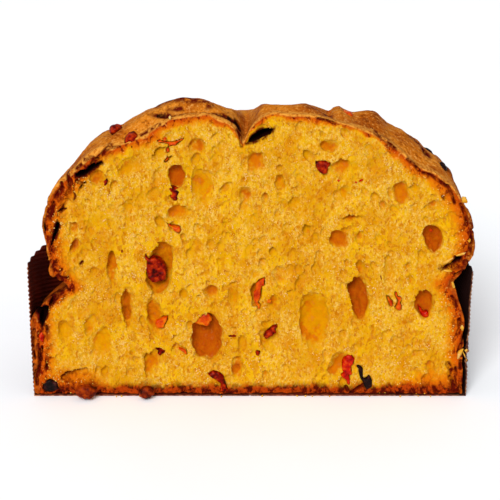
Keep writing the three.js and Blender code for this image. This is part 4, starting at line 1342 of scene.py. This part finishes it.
class PANETTONE_OT_case(bpy.types.Operator):
    """Makes the ribbed paper case"""

    bl_idname = "panettone.case"
    bl_label = "Paper case"

    def execute(self, context):
        settings = context.scene.panettone_case
        paper = case_paper()
        for name, first, last in (("case_right", 0, np.pi / 2), ("case_left", np.pi / 2, np.pi)):
            wall = self.sheet(settings, name, first, last)
            wall.data.materials.append(paper)
            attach(wall, "root")
            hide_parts("paper_case")
        return {"FINISHED"}

    def sheet(self, settings, name, first, last):
        """One half of the wall and base, between two azimuths, as a sheet of quads that is given its thickness."""
        pitch = settings.rib_pitch / MM
        depth = settings.rib_depth / MM
        paper = settings.paper / MM
        rim = CASE_BOX[1].x + 0.1 - paper / 2
        foot = rim - 0.5
        height = CASE_BOX[1].z - 1.4
        rows = int(height / pitch) * 6
        columns = 170
        share, azimuth = np.meshgrid(np.linspace(0, 1, rows + 1), np.linspace(first, last, columns + 1), indexing="ij")
        level = paper / 2 + share * (height - paper)
        phase = 2 * np.pi * (level - settings.rib_slant * azimuth * rim) / pitch
        wave = np.sin(phase) * smoothstep(0, 0.05, share)
        flat = np.stack([share * height, azimuth * rim, 0 * share], 2).reshape(-1, 3)
        sag = 0.4 * noise(flat, (23, 31, 9), 42).reshape(share.shape) * smoothstep(0.1, 1, share)
        depth = depth * (0.75 + 0.45 * noise(flat + 7, (7, 19, 9), 44).reshape(share.shape))
        # The cut edge is crumpled low on the right
        torn = smoothstep(0.06, 0.01, azimuth) * smoothstep(10, 16, level) * smoothstep(34, 26, level)
        sag = sag + torn * (1.1 * noise(flat, (3, 2, 9), 43).reshape(share.shape) - 0.6)
        radius = foot + (rim - foot) * share - depth / 2 + depth / 2 * wave + np.minimum(sag, 0.2)
        x = radius * np.cos(azimuth)
        y = radius * np.sin(azimuth)
        lift = 1 - 1.4 / height * share ** 2 * np.cos(azimuth)
        z = level * lift + 0.35 * wave * smoothstep(0.96, 1, share)
        vertices = np.stack([x, y, z], 2).reshape(-1, 3)
        index = np.arange((rows + 1) * (columns + 1)).reshape(rows + 1, columns + 1)
        faces = np.stack([index[:-1, :-1], index[:-1, 1:], index[1:, 1:], index[1:, :-1]], -1).reshape(-1, 4)
        # The base is rings that shrink to a short line on the cut
        rings = 24
        inner = index[0]
        turn = azimuth[0]
        base_faces = []
        for ring in range(1, rings + 1):
            reach = radius[0, 0] * (1 - ring / rings * 0.995)
            spots = np.stack([reach * np.cos(turn), reach * np.sin(turn), np.full(columns + 1, paper / 2)], 1)
            start = len(vertices)
            vertices = np.concatenate([vertices, spots])
            outer, inner = inner, np.arange(start, start + columns + 1)
            base_faces.append(np.stack([inner[:-1], inner[1:], outer[1:], outer[:-1]], -1))
        faces = np.concatenate([faces] + base_faces)
        piece = mesh_object(name, vertices, faces)
        solid = piece.modifiers.new("thickness", "SOLIDIFY")
        solid.thickness = settings.paper
        solid.offset = 0
        solid.use_even_offset = True
        plain_mesh(piece)
        self.mark_edges(piece)
        return piece

    def mark_edges(self, piece):
        """The raw cut edges get the attribute edge, which fades within a millimetre."""
        count = len(piece.data.vertices)
        spots = np.empty(count * 3, np.float32)
        piece.data.vertices.foreach_get("co", spots)
        spots = spots.reshape(-1, 3) / MM
        behind = spots[:, 1] - CUT_Y
        rng = np.random.default_rng(41)
        edge = np.exp(-np.maximum(behind, 0) / 0.9) * rng.uniform(0.2, 1, count)
        layer = piece.data.attributes.new("edge", "FLOAT", "POINT")
        layer.data.foreach_set("value", edge.astype(np.float32))


class PANETTONE_OT_fruit(bpy.types.Operator):
    """Makes the raisins, peel and cherries in the place of their plain solids"""

    bl_idname = "panettone.fruit"
    bl_label = "Fruit"

    def execute(self, context):
        for index, name in enumerate(FRUIT_NODES):
            kind = name.split("_")[0]
            piece = self.cut_fruit(name, index) if name in CUT_FRUIT else self.lump(name, kind, index)
            look = kind
            if name.startswith(("raisin_skin_o", "raisin_skin_sh", "raisin_back", "raisin_burnt")):
                look = "scorched"
            elif name.startswith("raisin_foot"):
                look = "browned"
            piece.data.materials.append(fruit_material(look))
            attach(piece, "root")
            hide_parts(name)
        for kind in ("raisin", "peel", "cherry"):
            self.lumps(kind + "_flecks", kind, [fleck[:5] for fleck in FLECKS if fleck[5] == kind])
        self.lumps("crumb_flakes", "bread", FLAKES)
        return {"FINISHED"}

    def cut_fruit(self, name, seed):
        """Fruit that the knife met, from its outline on the cut."""
        half, outlines = CUT_FRUIT[name]
        corners = np.array([spot for outline in outlines for spot in outline])
        low, high = corners.min(0) - 1.5, corners.max(0) + 1.5
        step = 0.28
        xs = np.arange(low[0], high[0], step)
        zs = np.arange(low[1], high[1], step)
        back = 2 * half + FRUIT_SET_BACK.get(name, 0) + 1
        ys = np.arange(-1.5, back, step)
        points = grid_points(xs, ys, zs)
        bumps = 0.32 * noise(points + 40 * seed, (1.9, 1.9, 1.9), 51) + 0.16 * noise(points, (0.9, 0.9, 0.9), 52)
        thin = 0.35 if name.startswith("peel") else 0
        field = fruit_field(xs, ys, zs, name) + thin + bumps.reshape(len(xs), len(ys), len(zs))
        return mesh_object(name + "_flesh", *surface_nets(field, xs, ys, zs))

    def lump(self, node, kind, seed):
        """A copy of the node's solid, made round by subdivision and then wrinkled."""
        shape = bmesh.new()
        shape.from_mesh(frame["nodes"][node].data)
        bmesh.ops.remove_doubles(shape, verts=shape.verts, dist=0.01 * MM)
        mesh = bpy.data.meshes.new(node + "_flesh")
        shape.to_mesh(mesh)
        shape.free()
        mesh.materials.clear()
        piece = bpy.data.objects.new(node + "_flesh", mesh)
        bpy.context.scene.collection.objects.link(piece)
        rounder = piece.modifiers.new("round", "SUBSURF")
        rounder.levels = rounder.render_levels = 3
        plain_mesh(piece)
        count = len(piece.data.vertices)
        spots = np.empty(count * 3)
        piece.data.vertices.foreach_get("co", spots)
        spots = spots.reshape(-1, 3) / MM
        centre = (spots.max(0) + spots.min(0)) / 2
        offset = spots - centre
        ripple = 1 - np.abs(noise(spots + 50 * seed, (2.2, 2.2, 2.2), 51))
        small = noise(spots + 50 * seed, (1.1, 1.1, 1.1), 52)
        broad = noise(spots + 50 * seed, (5, 5, 5), 54)
        depth = {"raisin": 0.2, "peel": 0.1, "cherry": 0.08}[kind]
        factor = 1.06 - depth * ripple + 0.35 * depth * small + 0.4 * depth + 0.12 * broad
        spots = centre + offset * factor[:, None] + CRUST_FRUIT_SHIFT.get(node, (0, 0, 0))
        piece.data.vertices.foreach_set("co", (spots * MM).ravel())
        piece.data.shade_smooth()
        piece.data.update()
        return piece

    def lumps(self, name, kind, bits):
        """Small bits of one kind at their places on the cut, as one piece."""
        shape = bmesh.new()
        for number, (x, z, half, tall, lean) in enumerate(bits):
            ball = bmesh.ops.create_icosphere(shape, subdivisions=3, radius=1.0)["verts"]
            spots = np.array([vertex.co for vertex in ball])
            spots *= (1 + 0.42 * noise(spots * 2 + 9 * number, (1.1, 1.1, 1.1), 53))[:, None]
            spots *= [half, 0.8 * min(half, tall) + 0.3, tall]
            cos, sin = math.cos(math.radians(lean)), math.sin(math.radians(lean))
            turned = np.stack([spots[:, 0] * cos - spots[:, 2] * sin, spots[:, 1],
                               spots[:, 0] * sin + spots[:, 2] * cos], 1)
            placed = (turned + [x, 0.5 + CUT_Y, z]) * MM
            for vertex, spot in zip(ball, placed):
                vertex.co = spot
        mesh = bpy.data.meshes.new(name)
        shape.to_mesh(mesh)
        shape.free()
        mesh.shade_smooth()
        piece = bpy.data.objects.new(name, mesh)
        bpy.context.scene.collection.objects.link(piece)
        piece.data.materials.append(fruit_material(kind))
        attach(piece, "root")


class PANETTONE_OT_crumbs(bpy.types.Operator):
    """Scatters torn grains over the cut face and a few loose crumbs at its foot"""

    bl_idname = "panettone.crumbs"
    bl_label = "Crumbs"

    def execute(self, context):
        settings = context.scene.panettone_crumbs
        tree = self.scatter_tree(fruit_material("bread"))
        fronts = [self.torn_faces(thing) for thing in context.scene.objects if thing.name.startswith("crumb_")
                  and "depth" in thing.data.attributes]
        for number, (vertices, faces) in enumerate(fronts):
            patch = mesh_object(f"grains_{number + 1}", vertices, faces)
            self.scatter(patch, tree, settings.clinging, settings.clinging_size, 70 + number)
        x, near, far = 88.0, -1.6, -0.5
        strip = mesh_object("loose_crumbs", [(-x, near, 0.3), (x, near, 0.3), (x, far, 0.3), (-x, far, 0.3)],
                            [(0, 1, 2, 3)])
        self.scatter(strip, tree, settings.loose, settings.loose_size, 61)
        return {"FINISHED"}

    def torn_faces(self, thing):
        """The faces of a slab of the bread that the knife tore: near the plane of the cut and not browned."""
        mesh = thing.data
        count = len(mesh.vertices)
        spots = np.empty(count * 3)
        mesh.vertices.foreach_get("co", spots)
        spots = spots.reshape(-1, 3) / MM - [0, CUT_Y, 0]
        layers = {}
        for name in ("depth", "skin"):
            layers[name] = np.empty(count, np.float32)
            mesh.attributes[name].data.foreach_get("value", layers[name])
        patchy = noise(spots, (8, 8, 11), 71) + 0.5 * noise(spots, (3, 3, 4), 72)
        fit = (layers["depth"] < 0.5) & (layers["skin"] > 4) & (spots[:, 1] < 3) & (patchy > -0.25)
        mesh.calc_loop_triangles()
        faces = np.empty(len(mesh.loop_triangles) * 3, np.int32)
        mesh.loop_triangles.foreach_get("vertices", faces)
        faces = faces.reshape(-1, 3)
        faces = faces[fit[faces].all(1)]
        used, renumbered = np.unique(faces, return_inverse=True)
        return spots[used], renumbered.reshape(-1, 3)

    def scatter_tree(self, finish):
        """A node group that stands small lumps on a surface. Inputs: density, size and seed."""
        tree = bpy.data.node_groups.new("scattered_crumbs", "GeometryNodeTree")
        tree.interface.new_socket("Surface", in_out="INPUT", socket_type="NodeSocketGeometry")
        for name, kind in (("Density", "NodeSocketFloat"), ("Size", "NodeSocketFloat"), ("Seed", "NodeSocketInt")):
            tree.interface.new_socket(name, in_out="INPUT", socket_type=kind)
        tree.interface.new_socket("Crumbs", in_out="OUTPUT", socket_type="NodeSocketGeometry")
        given = add(tree, "NodeGroupInput").outputs
        spread = add(tree, "GeometryNodeDistributePointsOnFaces", inputs={
            "Mesh": given["Surface"], "Density": given["Density"], "Seed": given["Seed"],
        })
        ball = add(tree, "GeometryNodeMeshIcoSphere", inputs={"Radius": 1.0, "Subdivisions": 1})
        spin = add(tree, "FunctionNodeRandomValue", {"data_type": "FLOAT_VECTOR"}, {
            0: (0, 0, 0), 1: (math.tau, math.tau, math.tau), "Seed": given["Seed"],
        })
        shape = add(tree, "FunctionNodeRandomValue", {"data_type": "FLOAT_VECTOR"}, {
            0: (0.45, 0.45, 0.45), 1: (1.25, 1.25, 1.25), "Seed": add(
                tree, "FunctionNodeIntegerMath", {"operation": "ADD"}, {0: given["Seed"], 1: 5}).outputs[0],
        })
        scale = add(tree, "ShaderNodeVectorMath", {"operation": "SCALE"},
                    {0: shape.outputs[0], "Scale": given["Size"]})
        placed = add(tree, "GeometryNodeInstanceOnPoints", inputs={
            "Points": spread.outputs["Points"], "Instance": ball.outputs["Mesh"],
            "Rotation": spin.outputs[0], "Scale": scale.outputs[0],
        })
        real = add(tree, "GeometryNodeRealizeInstances", inputs={"Geometry": placed.outputs["Instances"]})
        smooth = add(tree, "GeometryNodeSetShadeSmooth", inputs={"Geometry": real.outputs["Geometry"]})
        finished = add(tree, "GeometryNodeSetMaterial", inputs={"Geometry": smooth.outputs["Geometry"]})
        finished.inputs["Material"].default_value = finish
        add(tree, "NodeGroupOutput", inputs={"Crumbs": finished.outputs["Geometry"]})
        return tree

    def scatter(self, patch, tree, density, size, seed):
        """Turns a patch of surface into the crumbs that lie on it."""
        name = patch.name
        modifier = patch.modifiers.new("crumbs", "NODES")
        modifier.node_group = tree
        values = {"Density": density, "Size": size, "Seed": seed}
        for socket in tree.interface.items_tree:
            if socket.name in values:
                modifier[socket.identifier] = values[socket.name]
        patch.update_tag()
        plain_mesh(patch)
        patch.name = name
        print(name, "triangles", len(patch.data.polygons))
        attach(patch, "root")


class PANETTONE_OT_stage(bpy.types.Operator):
    """Sets the camera, the pale table and the soft light"""

    bl_idname = "panettone.stage"
    bl_label = "Stage"

    def execute(self, context):
        settings = context.scene.panettone_stage
        scene = context.scene
        scene.view_settings.view_transform = "Standard"
        scene.view_settings.look = "None"
        floor = mesh_object("table_top", [(-3000, -3000, 0), (3000, -3000, 0), (3000, 3000, 0), (-3000, 3000, 0)],
                            [(0, 1, 2, 3)], smooth=False)
        floor.data.materials.append(floor_finish())
        camera = bpy.data.objects.new("camera", bpy.data.cameras.new("camera"))
        scene.collection.objects.link(camera)
        camera.data.lens = settings.lens
        camera.data.sensor_width = 36
        camera.data.dof.use_dof = False
        way = Vector((0, math.cos(settings.elevation), -math.sin(settings.elevation)))
        target = Vector((0, CUT_Y * MM, settings.target_height))
        camera.location = target - settings.distance * way
        camera.rotation_euler = way.to_track_quat("-Z", "Y").to_euler()
        camera.data.clip_end = 20
        scene.camera = camera
        sun = bpy.data.lights.new("key", "SUN")
        sun.energy = 3.3
        sun.angle = math.radians(25)
        key = bpy.data.objects.new("key", sun)
        key.rotation_euler = (math.radians(56), 0, math.radians(-14))
        scene.collection.objects.link(key)
        world = bpy.data.worlds.new("studio")
        world.use_nodes = True
        world.node_tree.nodes["Background"].inputs["Color"].default_value = (1, 1, 1, 1)
        world.node_tree.nodes["Background"].inputs["Strength"].default_value = 0.52
        scene.world = world
        return {"FINISHED"}


class PANETTONE_PT_panel(bpy.types.Panel):
    """Lists the pieces in the order in which they are made"""

    bl_label = "Panettone"
    bl_space_type = "VIEW_3D"
    bl_region_type = "UI"
    bl_category = "Panettone"

    def draw(self, context):
        for operator in OPERATORS:
            self.layout.operator(operator.bl_idname)


SETTINGS = {
    "panettone_loaf": LoafSettings,
    "panettone_case": CaseSettings,
    "panettone_crumbs": CrumbSettings,
    "panettone_stage": StageSettings,
}
OPERATORS = [
    PANETTONE_OT_loaf, PANETTONE_OT_case, PANETTONE_OT_fruit, PANETTONE_OT_crumbs, PANETTONE_OT_stage,
]


def register():
    for kind in (*SETTINGS.values(), *OPERATORS, PANETTONE_PT_panel):
        bpy.utils.register_class(kind)
    for name, kind in SETTINGS.items():
        setattr(bpy.types.Scene, name, PointerProperty(type=kind))


def unregister():
    for name in SETTINGS:
        delattr(bpy.types.Scene, name)
    for kind in (PANETTONE_PT_panel, *reversed(OPERATORS), *SETTINGS.values()):
        bpy.utils.unregister_class(kind)


def main():
    register()
    bpy.ops.panettone.loaf()
    bpy.ops.panettone.case()
    bpy.ops.panettone.fruit()
    bpy.ops.panettone.crumbs()
    bpy.ops.panettone.stage()
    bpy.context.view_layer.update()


if __name__ == "__main__":
    main()
